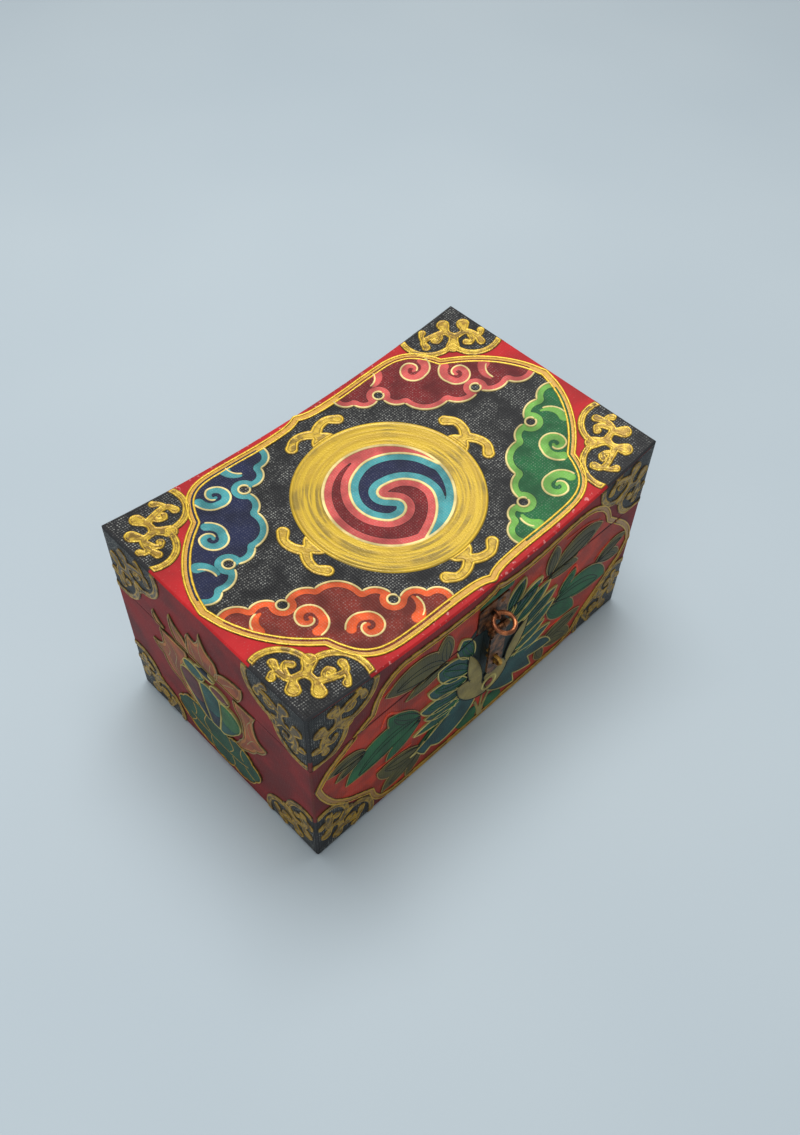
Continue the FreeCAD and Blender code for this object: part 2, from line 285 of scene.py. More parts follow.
def relief(name, face, drawn, paint, body, slot, step=FINE_STEP, height=0.4, edge=0.2, soft=1.2,
           clip=None, cord=None):
    """A grid trimmed to a drawn shape. It rises as a quarter circle from edge at the rim to height over the
    width soft, or, with a cord of the given size, it has a raised line along its rim and a groove inside."""
    shape, box = drawn
    if clip is not None:
        unclipped = shape
        shape = lambda u, v: np.maximum(unclipped(u, v), clip(u, v))
    columns, rows = np.arange(box[0], box[2] + step, step), np.arange(box[1], box[3] + step, step)
    u, v = np.meshgrid(columns, rows, indexing="ij")
    apart = shape(u, v)
    index = np.arange(u.size).reshape(u.shape)
    ok = apart < RIM_REACH * step
    ok = ok[:-1, :-1] & ok[1:, :-1] & ok[1:, 1:] & ok[:-1, 1:]
    if not ok.any():
        return
    quads = np.stack([index[:-1, :-1], index[1:, :-1], index[1:, 1:], index[:-1, 1:]], -1)[ok]
    sides = np.concatenate([quads[:, [0, 1]], quads[:, [1, 2]], quads[:, [2, 3]], quads[:, [3, 0]]])
    rim = sides[~np.isin(sides[:, 0] * u.size + sides[:, 1], sides[:, 1] * u.size + sides[:, 0])]
    slope_u, slope_v = (g.ravel() for g in np.gradient(apart, step))
    steep = np.maximum(np.hypot(slope_u, slope_v), LEAST_SLOPE)
    u, v, apart = u.ravel().copy(), v.ravel().copy(), apart.ravel().copy()
    edge_points = np.unique(rim)
    for pull in range(RIM_PULLS):
        away = np.clip(shape(u[edge_points], v[edge_points]), -step, step)
        u[edge_points] -= away * (slope_u / steep)[edge_points]
        v[edge_points] -= away * (slope_v / steep)[edge_points]
    apart[edge_points] = 0
    used, quads = np.unique(quads, return_inverse=True)
    quads = quads.reshape(-1, 4)
    rim = np.searchsorted(used, rim)
    u, v, inset = u[used], v[used], -apart[used]
    rise = np.sqrt(1 - (1 - np.clip(inset / soft, 0, 1)) ** 2)
    lift = rise
    if cord:
        rise = np.interp(inset, CORD_DEPTH * cord, CORD_RISE)
        lift = np.interp(inset, CORD_DEPTH * cord, CORD_LIFT)
    points = np.vstack([face(u, v, edge + (height - edge) * rise), face(u, v, np.full(len(u), -SUNK))])
    count = len(u)
    walls = np.stack([rim[:, 0] + count, rim[:, 1] + count, rim[:, 1], rim[:, 0]], -1)
    lift = np.concatenate([lift, np.zeros(count)])
    add_piece(name, points, [quads, quads[:, ::-1] + count, walls], lift, paint, body)


# %% [markdown]
# ## Making beads
# A bead is a low round ridge carried along a path, like the lines squeezed from a cone before gilding. A
# curve with a bevel could give it, but here it follows the face map, runs out to a point at its ends, and
# knows its own lift.

# %% Bead helpers
def ridge(face, path, half_width, height, base, closed, taper):
    """One bead: a half ellipse with a flat foot, carried along the path and drawn to a point at open ends."""
    step = np.gradient(path, axis=0)
    if closed:
        step = np.roll(path, -1, axis=0) - np.roll(path, 1, axis=0)
    step /= np.maximum(np.hypot(*step.T), 1e-9)[:, None]
    side = np.stack([-step[:, 1], step[:, 0]], -1)
    angle = np.linspace(0, math.pi, BEAD_SIDES)
    offset = np.concatenate([np.cos(angle), [-1, 1]]) * half_width
    up = np.concatenate([base + np.sin(angle) * height, [-SUNK, -SUNK]])
    lift = np.concatenate([np.sin(angle), [0, 0]])
    count, around = len(path), len(offset)
    size = np.ones(count)
    if not closed:
        run = np.arange(count) * LINE_STEP
        ends = np.minimum(run, run[::-1]) / max(taper, 1e-6)
        size = np.sqrt(np.clip(1 - (1 - np.clip(ends, 0.02, 1)) ** 2, 0, 1))
    place = path[:, None, :] + side[:, None, :] * (offset * size[:, None])[..., None]
    rise = np.where(up > 0, up * size[:, None], up)
    points = face(place[..., 0], place[..., 1], rise).reshape(-1, 3)
    index = np.arange(count * around).reshape(count, around)
    following = np.roll(index, -1, axis=0) if closed else index[1:]
    here = index if closed else index[:-1]
    quads = np.stack([here, np.roll(here, -1, 1), np.roll(following, -1, 1), following], -1).reshape(-1, 4)
    caps = [] if closed else [index[:1, ::-1], index[-1:]]
    return points, [quads] + caps, np.tile(lift, count)


def bead(name, face, paths, paint, body, slot, half_width, height, base, closed=False, taper=1.6,
         keep=None):
    """Round ridges along several paths, joined in one piece. keep trims paths to the part it accepts."""
    points, faces, lifts, total = [], [], [], 0
    for path in paths:
        for run in kept_runs(even(path), keep):
            ring = closed and keep is None
            run = run[:-1] if ring else run
            made, groups, lift = ridge(face, run, half_width, height, base, ring, taper)
            points.append(made)
            faces += [group + total for group in groups]
            lifts.append(lift)
            total += len(made)
    if not points:
        return
    add_piece(name, np.vstack(points), faces, np.concatenate(lifts), paint, body)


def kept_runs(path, keep):
    """The stretches of a path that keep accepts, in order."""
    if keep is None:
        return [path]
    accepted = keep(path[:, 0], path[:, 1])
    breaks = np.flatnonzero(np.diff(accepted.astype(int))) + 1
    runs = np.split(np.arange(len(path)), breaks)
    return [path[run] for run in runs if accepted[run[0]] and len(run) > SHORTEST_RUN]


# %% [markdown]
# ## Paint
# The box is painted over a thin cloth, so the weave shows through and rubs pale on its high threads; on the
# black ground these pale threads are partly painted sheen.
# Pictures of old paint would repeat and need unwrapping, so every finish is made of noise and waves in
# the box's own coordinates. A small class keeps the wiring short. Colours are written as they look, in
# sRGB.

# %% Finish nodes
WEAVE = 1.0


def linear(colour):
    """An sRGB colour of 0 to 255 as linear values with alpha."""
    c = np.asarray(colour, float) / 255
    return (*np.where(c <= 0.04045, c / 12.92, ((c + 0.055) / 1.055) ** 2.4), 1.0)


class Finish:
    """A material's nodes, with short calls to add and join them."""

    def __init__(self, name):
        self.material = bpy.data.materials.new(name)
        self.material.use_nodes = True
        self.tree = self.material.node_tree
        self.shader = self.tree.nodes["Principled BSDF"]
        coordinates = self.add("ShaderNodeTexCoord").outputs
        self.object, self.normal = coordinates["Object"], coordinates["Normal"]

    def add(self, kind, **inputs):
        """A node of the given kind; each input is a value or another node's output."""
        made = self.tree.nodes.new(kind)
        for key, value in inputs.items():
            numbered = key[0] == "i" and key[1:].isdigit()
            self.put(made, int(key[1:]) if numbered else key.replace("_", " "), value)
        return made

    def put(self, made, key, value):
        """Sets one input, or joins it to an output."""
        if isinstance(value, bpy.types.NodeSocket):
            self.tree.links.new(value, made.inputs[key])
        else:
            made.inputs[key].default_value = value

    def math(self, operation, first, second=0.0):
        """One arithmetic step."""
        made = self.add("ShaderNodeMath", i0=first, i1=second)
        made.operation = operation
        return made.outputs[0]

    def times(self, first, second):
        """The product of two values."""
        return self.math("MULTIPLY", first, second)

    def plus(self, first, second):
        """The sum of two values."""
        return self.math("ADD", first, second)

    def split(self, vector):
        """The three parts of a vector."""
        return self.add("ShaderNodeSeparateXYZ", Vector=vector).outputs

    def noise(self, scale, detail=3.0, stretch=(1, 1, 1), source=None):
        """Cloudy variation from 0 to 1, with scale in cycles per millimetre."""
        size = [s * scale / MM for s in stretch]
        spread = self.add("ShaderNodeMapping", Vector=source or self.object, Scale=size)
        return self.add("ShaderNodeTexNoise", Vector=spread.outputs[0], Scale=1.0, Detail=detail).outputs[0]

    def band(self, value, low, high):
        """0 below low, 1 above high and smooth between."""
        made = self.add("ShaderNodeMapRange", Value=value, From_Min=low, From_Max=high)
        made.interpolation_type = "SMOOTHSTEP"
        return made.outputs[0]

    def mix(self, amount, first, second):
        """A colour between two."""
        made = self.add("ShaderNodeMix")
        made.data_type = "RGBA"
        self.put(made, 0, amount)
        self.put(made, 6, first if isinstance(first, bpy.types.NodeSocket) else linear(first))
        self.put(made, 7, second if isinstance(second, bpy.types.NodeSocket) else linear(second))
        return made.outputs[2]

    def weave(self):
        """A plain weave: threads across each axis, shown only on faces that the axis runs along."""
        scale = 2 * math.pi / (20 * WEAVE * MM)
        total = 0.0
        for axis, way in zip("XYZ", self.split(self.normal)):
            wave = self.add("ShaderNodeTexWave", Vector=self.object, Scale=scale, Distortion=0.5,
                            Detail=1.0, Detail_Scale=0.3)
            wave.bands_direction = axis
            shown = self.math("SUBTRACT", 1.0, self.math("ABSOLUTE", way))
            total = self.plus(self.times(wave.outputs[1], shown), total)
        return self.math("DIVIDE", total, 2.0)

    def lift(self):
        """The attribute that says how high a point of a relief or bead lies."""
        made = self.add("ShaderNodeAttribute")
        made.attribute_name = "lift"
        return made.outputs["Fac"]

    def done(self, colour, rough, bump=None, depth=0.1, metal=0.0, shine=0.5):
        """Joins the colour, roughness and bump to the shader, and sets how metallic and how shiny it is."""
        self.shader.inputs["Specular IOR Level"].default_value = shine
        self.put(self.shader, "Base Color", colour)
        self.put(self.shader, "Roughness", rough)
        self.shader.inputs["Metallic"].default_value = metal
        if bump is not None:
            made = self.add("ShaderNodeBump", Height=bump, Strength=1.0, Distance=depth * MM)
            self.put(self.shader, "Normal", made.outputs[0])
        return self.material


# %% [markdown]
# ## Two recipes
# Matt colours and gold wear differently. A matt colour is cloudy, and its threads rub pale, which on the
# black ground is partly painted sheen. Gold is streaked by the brush, and its crests are painted brighter,
# as a highlight with some rubbing. Both are painted darker in the hollows, as shade with some dirt, which
# the lift attribute tells.

# %% Paint recipes
HOLLOW_DIRT_AND_SHADE = (25, 20, 18)


def shade(colour, factor):
    """The colour made darker or lighter by a factor."""
    return tuple(min(255.0, c * factor) for c in colour)


def cloth_paint(name, colour, rub=(205, 200, 190), rubbing=0.18, rough=0.5, hollow_dirt_and_shade=0.7):
    """Matt paint over cloth: cloudy colour, pale rubbing on the threads, dirt and painted shade in the
    hollows.
    """
    f = Finish(name)
    cloud = f.noise(0.12, 4.0)
    speck = f.noise(1.3, 2.0)
    threads = f.weave()
    base = f.mix(f.band(cloud, 0.3, 0.72), shade(colour, 0.8), shade(colour, 1.12))
    worn = f.times(f.band(threads, 0.45, 0.75), f.band(speck, 0.4, 0.66))
    worn = f.times(worn, f.band(cloud, 0.34, 0.6))
    base = f.mix(f.times(worn, rubbing), base, rub)
    # Dirt and painted shade: where the lift is low, at the feet and rims of reliefs, the colour is mixed
    # towards a dark brown.
    hollow = f.band(f.lift(), 0.0, 0.55)
    base = f.mix(hollow, f.mix(hollow_dirt_and_shade, base, HOLLOW_DIRT_AND_SHADE), base)
    height = f.plus(f.times(threads, 0.6), f.times(speck, 0.5))
    roughness = f.plus(f.times(cloud, 0.16), rough - 0.08)
    return f.done(base, roughness, height, 0.16, shine=0.22)


def gold_paint(name, bright, deep, dark, metal=0.3, annular=False, dirty=0.6):
    """Brushed gold: streaks of bright and deep tone, dark rubbing, painted shade in the hollows, painted
    highlights on the crests.
    """
    f = Finish(name)
    source = None
    if annular:
        place = f.split(f.object)
        radius = f.math("SQRT", f.plus(f.math("POWER", place[0], 2.0), f.math("POWER", place[1], 2.0)))
        around = [f.times(f.math("DIVIDE", axis, radius), 3.2 * MM) for axis in place[:2]]
        outward = f.times(radius, 1.9)
        source = f.add("ShaderNodeCombineXYZ", X=around[0], Y=around[1], Z=outward).outputs[0]
    streak = f.noise(0.4, 5.0, source=source)
    patchy = f.noise(0.06, 3.0)
    fine = f.noise(1.6, 2.0)
    tone = f.mix(f.band(streak, 0.4, 0.6), deep, shade(bright, 0.92))
    dirt = f.times(f.band(streak, 0.56, 0.42), f.band(patchy, 0.46, 0.6))
    tone = f.mix(f.times(dirt, dirty), tone, dark)
    lift = f.lift()
    # Painted highlight, with some rubbing: the high crests are mixed towards a brighter gold.
    tone = f.mix(f.times(f.band(lift, 0.74, 0.95), 0.85), tone, shade(bright, 1.14))
    # Painted shade, with some dirt: the low places are mixed most of the way to the dark tone.
    tone = f.mix(f.band(lift, 0.05, 0.45), f.mix(0.8, tone, dark), tone)
    height = f.plus(f.times(streak, 0.7), f.times(fine, 0.4))
    rough = f.plus(f.times(fine, 0.2), 0.26)
    return f.done(tone, rough, height, 0.28, metal)


# %% [markdown]
# ## The first paints
# Each cloud and comma has a light and a dark tone of one colour. The gold on the upright faces is darker
# than on the lid, as painted shade, and a little dirtier, so it has its own tones, and the disc is brushed
# round its middle.

# %% Paints
# On the black ground the strong pale rubbing on the threads is partly wear and partly painted sheen.
BLACK = cloth_paint("black_ground", (27, 28, 30), rub=(164, 165, 158), rubbing=0.74, rough=0.48)
CREAM = cloth_paint("cream_line", (228, 208, 142), rubbing=0.1, rough=0.5, hollow_dirt_and_shade=0.45)
NAVY = cloth_paint("navy_paint", (21, 28, 58), rub=(124, 126, 140), rubbing=0.26)
TEAL = cloth_paint("teal_paint", (66, 142, 146))
SALMON = cloth_paint("salmon_paint", (190, 80, 76))
DARK_RED = cloth_paint("dark_red_paint", (106, 20, 23))
ORANGE = cloth_paint("orange_paint", (208, 84, 36))
BROWN_RED = cloth_paint("brown_red_paint", (110, 35, 24))
LEAF_GREEN = cloth_paint("light_green_paint", (108, 166, 72))
DARK_GREEN = cloth_paint("dark_green_paint", (20, 90, 48))
GOLD = gold_paint("gold_relief", (212, 176, 54), (150, 116, 34), dark=(46, 38, 20), dirty=0.5)
LUG_GOLD = gold_paint("lug_gold", (216, 178, 50), (172, 138, 38), dark=(60, 50, 22), metal=0.2, dirty=0.45)
OCHRE = gold_paint("ochre_band", (180, 136, 50), (140, 102, 38), dark=(76, 52, 26), metal=0.1, dirty=0.45)
# The two gold finishes for upright faces are darker copies of the lid's, with the shade of those faces
# painted in, and a little more dirt.
SHADED_SIDE_GOLD = gold_paint("shaded_side_gold", (182, 142, 26), (108, 80, 14), dark=(28, 23, 11), dirty=0.7)
SHADED_SIDE_OCHRE = gold_paint("shaded_side_ochre", (144, 100, 28), (104, 70, 20), dark=(50, 33, 14), metal=0.1,
                        dirty=0.5)
DISC_GOLD = gold_paint("disc_gold", (218, 181, 38), (182, 148, 34), dark=(104, 90, 34), metal=0.18,
                       annular=True, dirty=0.65)
print(len(bpy.data.materials), "finishes so far")

# %% [markdown]
# ## The lid's frame and black ground
# A cusped band runs round the lid: an ochre strip between two raised gold lines. It is the same in each
# quarter, so one quarter is drawn and mirrored. The black ground fills it, and the wood outside stays
# red. A curve with a round bevel would do on a flat lid, but a bead worked out as an array follows the
# dish exactly.

# %% Lid frame
LID_SIDE = [(87.2, 0), (85.0, 8.5), (81.0, 17.0), (75.5, 24.6), (69.5, 30.6), (63.3, 35.4)]
LID_SHOULDER = [(63.3, 35.4), (61.4, 40.2), (58.4, 45.2), (54.0, 48.8), (47.5, 50.8), (36.0, 51.2),
                (20.0, 50.9), (9.0, 51.2), (3.5, 52.0), (0, 53.4)]
BAND_HALF = 1.75
LINE_INSET = 0.45
CORNER_KEEP = 0.93
quarter = np.vstack([spline(LID_SIDE), spline(LID_SHOULDER)[1:]])
lid_frame = np.vstack([quarter, mirrored(quarter, -1, 1)[-2:0:-1], mirrored(quarter, -1, -1),
                       mirrored(quarter, 1, -1)[-2:0:-1]])
lid_frame = even(closed_loop(lid_frame))[:-1]


def offset_path(path, distance):
    """A closed path moved sideways, to the left of its way, and kept clear of its own corners."""
    step = np.roll(path, -2, axis=0) - np.roll(path, 2, axis=0)
    step /= np.hypot(*step.T)[:, None]
    moved = path + np.stack([-step[:, 1], step[:, 0]], -1) * distance
    return moved[far_from(closed_loop(path), moved[:, 0], moved[:, 1]) > abs(distance) * CORNER_KEEP]


relief("lid_black_ground", on_top, patch(lid_frame), BLACK, "lid", "lid_paint",
       step=FIELD_STEP, height=0.1, edge=0.06)
bead("lid_frame_band", on_top, [closed_loop(lid_frame)], OCHRE, "lid", "lid_paint",
     half_width=BAND_HALF, height=0.28, base=0.12, closed=True)
frame_lines = [closed_loop(offset_path(lid_frame, side * (BAND_HALF - LINE_INSET))) for side in (1, -1)]
bead("lid_frame_lines", on_top, frame_lines, GOLD, "lid", "lid_paint",
     half_width=0.52, height=0.42, base=0.25, closed=True)

# %% [markdown]
# ## The medallion
# A gold disc with four scrolled lugs stands in the middle, and in it two commas of colour chase each
# other. One line winds from the rim through the middle and out again, and the rim on its one side or the
# other closes each comma. Each has a dark core, which is the same shape shrunk by a few millimetres.
# Booleans could cut these shapes, but a distance gives them with clean rims and no stray faces.

# %% Medallion
DISC_RADIUS = 37.6
SWIRL_RADIUS = 25.0
CORE_INSET = 3.4
SWIRL_TUCK = 0.3
LUG_TUCK = 0.6
DISC_RINGS = 36
DISC_SPOKES = 360
DISC_RISE = ([0, 0.02, 0.06, 0.84, 0.87, 0.93, 0.985, 1.0], [0.3, 0.42, 0.46, 0.46, 0.36, 0.68, 0.4, -SUNK])
# DISC_LIFT is low in the groove by the rim and high on the rim's line, so the gold paints shade and a
# highlight there.
DISC_LIFT = ([0, 0.06, 0.82, 0.87, 0.93, 1.0], [0.3, 0.65, 0.65, 0.1, 1, 0.0])
SWIRL_LINE = [(-7, 25.0), (18, 22.6), (45, 20.6), (73, 18.8), (100, 16.7), (127, 15.2), (160, 14.2),
              (192, 13.5), (225, 12.8), (250, 11.4), (268, 9.4), (280, 7.0), (281, 4.6), (250, 2.5),
              (187, 2.8), (153, 3.9), (122, 4.6), (90, 4.8), (60, 5.3), (35, 6.8), (14, 9.1), (-4, 11.6),
              (-20, 14.2), (-38, 16.7), (-58, 18.5), (-77, 20.6), (-92, 22.8), (-102, 25.0)]
LUG_ARM = ([(0, 41.8), (-4.0, 44.2), (-8.5, 44.6), (-12.0, 42.0)], [2.6, 2.3, 2.2, 2.7])
LUG_NECK = ([(0, 35.0), (0, 38.0), (0, 40.0), (0, 42.5)], [6.5, 3.6, 2.8, 2.2])


def circle(centre, radius, start=0.0, turn=360.0):
    """An arc of a circle, in degrees."""
    count = max(int(abs(math.radians(turn)) * radius / LINE_STEP), 12)
    angle = np.radians(np.linspace(start, start + turn, count + 1))
    return np.asarray(centre, float) + radius * np.stack([np.cos(angle), np.sin(angle)], -1)


def turned(path, degrees):
    """The path turned about the middle of the drawing."""
    c, s = math.cos(math.radians(degrees)), math.sin(math.radians(degrees))
    return np.asarray(path, float) @ np.array([[c, s], [-s, c]])


def disc_ring(name, inner, outer, paint, body):
    """A flat gold ring: a polar grid whose height is level, then rises to a line near the rim and falls."""
    radius = np.concatenate([[inner], np.linspace(inner, outer, DISC_RINGS)])
    angle = np.linspace(0, 2 * math.pi, DISC_SPOKES + 1)[:-1]
    way = (radius - inner) / (outer - inner)
    rise = np.interp(way, *DISC_RISE)
    rise[0] = -SUNK
    lift = np.interp(way, *DISC_LIFT)
    r, a = np.meshgrid(radius, angle, indexing="ij")
    points = on_top(r * np.cos(a), r * np.sin(a), np.repeat(rise[:, None], len(angle), 1)).reshape(-1, 3)
    index = np.arange(len(points)).reshape(r.shape)
    here, next_turn = index, np.roll(index, -1, 1)
    top = np.stack([here[:-1], here[1:], next_turn[1:], next_turn[:-1]], -1).reshape(-1, 4)
    under = np.stack([here[0], next_turn[0], next_turn[-1], here[-1]], -1)
    add_piece(name, points, [top, under], np.repeat(lift, len(angle)), paint, body)


bearing, reach = np.radians([angle for angle, r in SWIRL_LINE]), np.array([r for angle, r in SWIRL_LINE])
swirl_line = spline(np.stack([np.cos(bearing), np.sin(bearing)], -1) * reach[:, None])
tail_from, head_from = SWIRL_LINE[-1][0], SWIRL_LINE[0][0]
sweep = head_from - tail_from
teal_comma = np.vstack([swirl_line, circle((0, 0), SWIRL_RADIUS, tail_from, sweep)[1:-1]])
red_comma = np.vstack([swirl_line, circle((0, 0), SWIRL_RADIUS, tail_from, sweep - 360)[1:-1]])
disc_ring("medallion_disc", SWIRL_RADIUS - SWIRL_TUCK, DISC_RADIUS, DISC_GOLD, "lid")
commas = {"teal": (teal_comma, TEAL, NAVY), "red": (red_comma, SALMON, DARK_RED)}
for comma_name, (comma, band_paint, core_paint) in commas.items():
    shape, box = patch(comma)
    core = lambda u, v, shape=shape: shape(u, v) + CORE_INSET
    relief(f"swirl_{comma_name}_comma", on_top, (shape, box), band_paint, "lid", "lid_paint",
           step=0.5, height=0.34, edge=0.3)
    relief(f"swirl_{comma_name}_core", on_top, (core, box), core_paint, "lid", "lid_paint",
           step=PAINT_STEP, height=0.42, edge=0.38)
bead("swirl_lines", on_top, [swirl_line], CREAM, "lid", "lid_paint", half_width=0.55, height=0.35, base=0.3)
bead("swirl_rim", on_top, [circle((0, 0), SWIRL_RADIUS)], CREAM, "lid", "lid_paint",
     half_width=0.6, height=0.35, base=0.32, closed=True)
lug_lines = []
for turn in (0, 90, 180, 270):
    lug_lines.append((turned(spline(LUG_NECK[0]), turn), LUG_NECK[1]))
    for flip in (1, -1):
        lug_lines.append((turned(spline(mirrored(LUG_ARM[0], flip, 1)), turn), LUG_ARM[1]))
lugs, lug_box = strokes(lug_lines)
outside_disc = lambda u, v: np.maximum(lugs(u, v), DISC_RADIUS - LUG_TUCK - np.hypot(u, v))
relief("medallion_lugs", on_top, (outside_disc, lug_box), LUG_GOLD, "lid", "lid_paint",
       step=0.28, height=0.65, cord=1.0)

# %% [markdown]
# ## Clouds
# Four clouds lie in the corners of the black ground, each in two tones of its own colour. A cloud's edge
# is a chain of round lobes with two small rings in it, where the painter's line curls back. Curls and
# short hooks grow out of the frame behind the lobes. Each quarter was painted freehand, so each has its
# own points. A filled curve could show the outline, but with a distance the band, the core and the rings
# come from one drawing.

# %% Clouds
CLOUD_BAND = 2.7
RING_RADIUS = 2.2
LOBE_SWELL = [0.26, 0.26, 0.0, 0.2, 0.24, 0.2, 0.0, 0.2, 0.24]
CURL_TURN = 430
CURL_RADIUS = 5.4
CURL_POINTS = 90
CURL_REACH = ([0, 0.2, 0.45, 0.68, 0.85, 1], [1.6, 1.06, 1.0, 0.9, 0.5, 0.16])
CURL_INSET = ([0, 0.3, 0.7, 1], [2.0, 1.8, 1.5, 0.7])
CURL_TUCK = 0.6 * BAND_HALF
RING_TUCK = 0.5
CURL_FILL = [2.0, 1.8, 1.6, 0.8]
HOOK_FILL = [2.6, 1.6, 0.6]
HOOK_SHIFT = 1.3
CLOUDS = {
    "blue": dict(
        flip=(-1, 1), band=TEAL, core=NAVY,
        cusps=[(-20, 50.2), (-27.5, 42.2), (-36.2, 36.7), (-39, 34.5), (-43, 25.2), (-54.5, 12.7),
               (-64, 10.2), (-66.5, 9.2), (-76.5, 3.5), (-85, 2.4)],
        rings=[(-39.3, 37.4), (-66.8, 12.2)], curls=[(-49.8, 41.0, 165, 1), (-63.6, 25.0, 75, -1)],
        hooks=[((-37.5, 51), (-34.3, 44.3), 0.2), ((-77.5, 16.8), (-73.6, 9.8), -0.2)]),
    "red": dict(
        flip=(1, 1), band=SALMON, core=DARK_RED,
        cusps=[(17.5, 50.7), (22, 43.2), (30.5, 38.5), (32.5, 37), (37.5, 29.7), (50.5, 18.5), (61, 12.5),
               (63.7, 12.5), (74.7, 8), (85, 3.2)],
        rings=[(32.6, 40.2), (63.0, 15.2)], curls=[(52.0, 40.0, 13, -1), (63.2, 25.7, 95, 1)],
        hooks=[((39.5, 51), (33.5, 46.2), -0.2), ((75.8, 21), (72, 13.4), 0.2)]),
    "orange": dict(
        flip=(-1, -1), band=ORANGE, core=BROWN_RED,
        cusps=[(-16, -49.5), (-21.5, -41.5), (-30.5, -37.3), (-31.8, -33.8), (-39, -26.8), (-51, -15.3),
               (-62, -12.8), (-65.5, -11.3), (-74.5, -8.3), (-85.5, -4.8)],
        rings=[(-33.2, -36.6), (-64.4, -14.0)], curls=[(-60.8, -24, 253, 1), (-47.2, -39.3, 158, -1)],
        hooks=[((-79.3, -17), (-73.6, -11.4), -0.2), ((-31, -48.6), (-26.2, -40.6), 0.2)]),
    "green": dict(
        flip=(1, -1), band=LEAF_GREEN, core=DARK_GREEN,
        cusps=[(18.5, -49.5), (24, -40.5), (31, -36.3), (34, -35), (41.7, -26.5), (53.7, -15.8),
               (62, -11.8), (64.5, -10), (75, -7.3), (85.5, -6)],
        rings=[(33.8, -37.6), (64.8, -13.2)], curls=[(62.6, -27.3, 254, -1), (48.6, -41.2, -11, 1)],
        hooks=[((77, -20.6), (72.8, -11.8), 0.2), ((28.6, -48.6), (27.6, -41.4), -0.15)]),
}


# %% [markdown]
# ## Curls and the cloud maker
# A curl is a spiral whose reach shrinks along a few set shares, because a plain spiral closes too evenly
# to look drawn by hand. The colour fills it a little inside the cream line.

# %% Cloud maker
def curl_line(u, v, start, hand):
    """A spiral that comes in from a wide root, goes once round, and ends in a tight eye."""
    t = np.linspace(0, 1, CURL_POINTS)
    angle = np.radians(start + hand * CURL_TURN * t)
    reach = CURL_RADIUS * np.interp(t, *CURL_REACH)
    fill = np.interp(t, *CURL_INSET)
    way = np.stack([np.cos(angle), np.sin(angle)], -1)
    return (u, v) + way * reach[:, None], (u, v) + way * np.maximum(reach - fill, 0.2)[:, None]


def make_cloud(name, plan):
    """The band, the core, the curls and the cream lines of one cloud."""
    sign = plan["flip"][0] * plan["flip"][1]
    pairs = list(zip(plan["cusps"][:-1], plan["cusps"][1:], LOBE_SWELL))
    lobes = [even(arc(a, b, sign * swell)) for a, b, swell in pairs]
    edge = np.vstack(lobes)
    side = mirrored(quarter, *plan["flip"])
    last = np.hypot(*(side - edge[-1]).T).argmin()
    first = np.hypot(*(side - edge[0]).T).argmin()
    body, box = patch(np.vstack([edge, side[last:first + 1]]))
    ring = lambda u, v: np.max([RING_RADIUS - np.hypot(u - x, v - y) for x, y in plan["rings"]], axis=0)
    band = lambda u, v: np.maximum(body(u, v), ring(u, v))
    depths = lambda u, v: [body(u, v), ring(u, v) + CLOUD_BAND, CLOUD_BAND - far_from(edge, u, v)]
    core = lambda u, v: np.max(depths(u, v), axis=0)
    relief(f"cloud_{name}_band", on_top, (band, box), plan["band"], "lid", "lid_paint",
           step=PAINT_STEP, height=0.34, edge=0.26)
    relief(f"cloud_{name}_core", on_top, (core, box), plan["core"], "lid", "lid_paint",
           step=PAINT_STEP, height=0.42, edge=0.38)
    curls = [curl_line(*curl) for curl in plan["curls"]]
    hooks = [even(arc(a, b, swell)) for a, b, swell in plan["hooks"]]
    middle = np.array(plan["cusps"]).mean(0)
    fills = [(even(inner), CURL_FILL) for outer, inner in curls]
    for hook in hooks:
        inward = middle - hook.mean(0)
        across = np.array([hook[0, 1] - hook[-1, 1], hook[-1, 0] - hook[0, 0]])
        across *= np.sign(across @ inward) / np.hypot(*across)
        fills.append((hook + across * HOOK_SHIFT, HOOK_FILL))
    inside_frame = patch(lid_frame)[0]
    fill, fill_box = strokes(fills)
    trimmed = lambda u, v: np.maximum(fill(u, v), inside_frame(u, v) + CURL_TUCK)
    relief(f"cloud_{name}_curls", on_top, (trimmed, fill_box), plan["band"], "lid", "lid_paint",
           step=FINE_STEP, height=0.62, edge=0.4, soft=1.0)
    lines = [lobe for lobe, swell in zip(lobes, LOBE_SWELL) if swell]
    lines += hooks + [outer for outer, inner in curls]
    for x, y in plan["rings"]:
        lines += kept_runs(circle((x, y), RING_RADIUS), lambda u, v: body(u, v) < RING_TUCK)
    bead(f"cloud_{name}_lines", on_top, lines, CREAM, "lid", "lid_paint",
         half_width=0.42, height=0.36, base=0.38, taper=1.2)


for cloud_name, cloud_plan in CLOUDS.items():
    make_cloud(cloud_name, cloud_plan)

# %% [markdown]
# ## Scrolled corners
# Every corner of the box has a black two-lobed patch with a gold border and a branching gold scroll, like
# the metal mounts of an older chest. One mesh could be copied to all, but then it could not be cut at the
# seam or at the rim, so one drawing, made for a square patch, is stretched to each size and cut afresh.

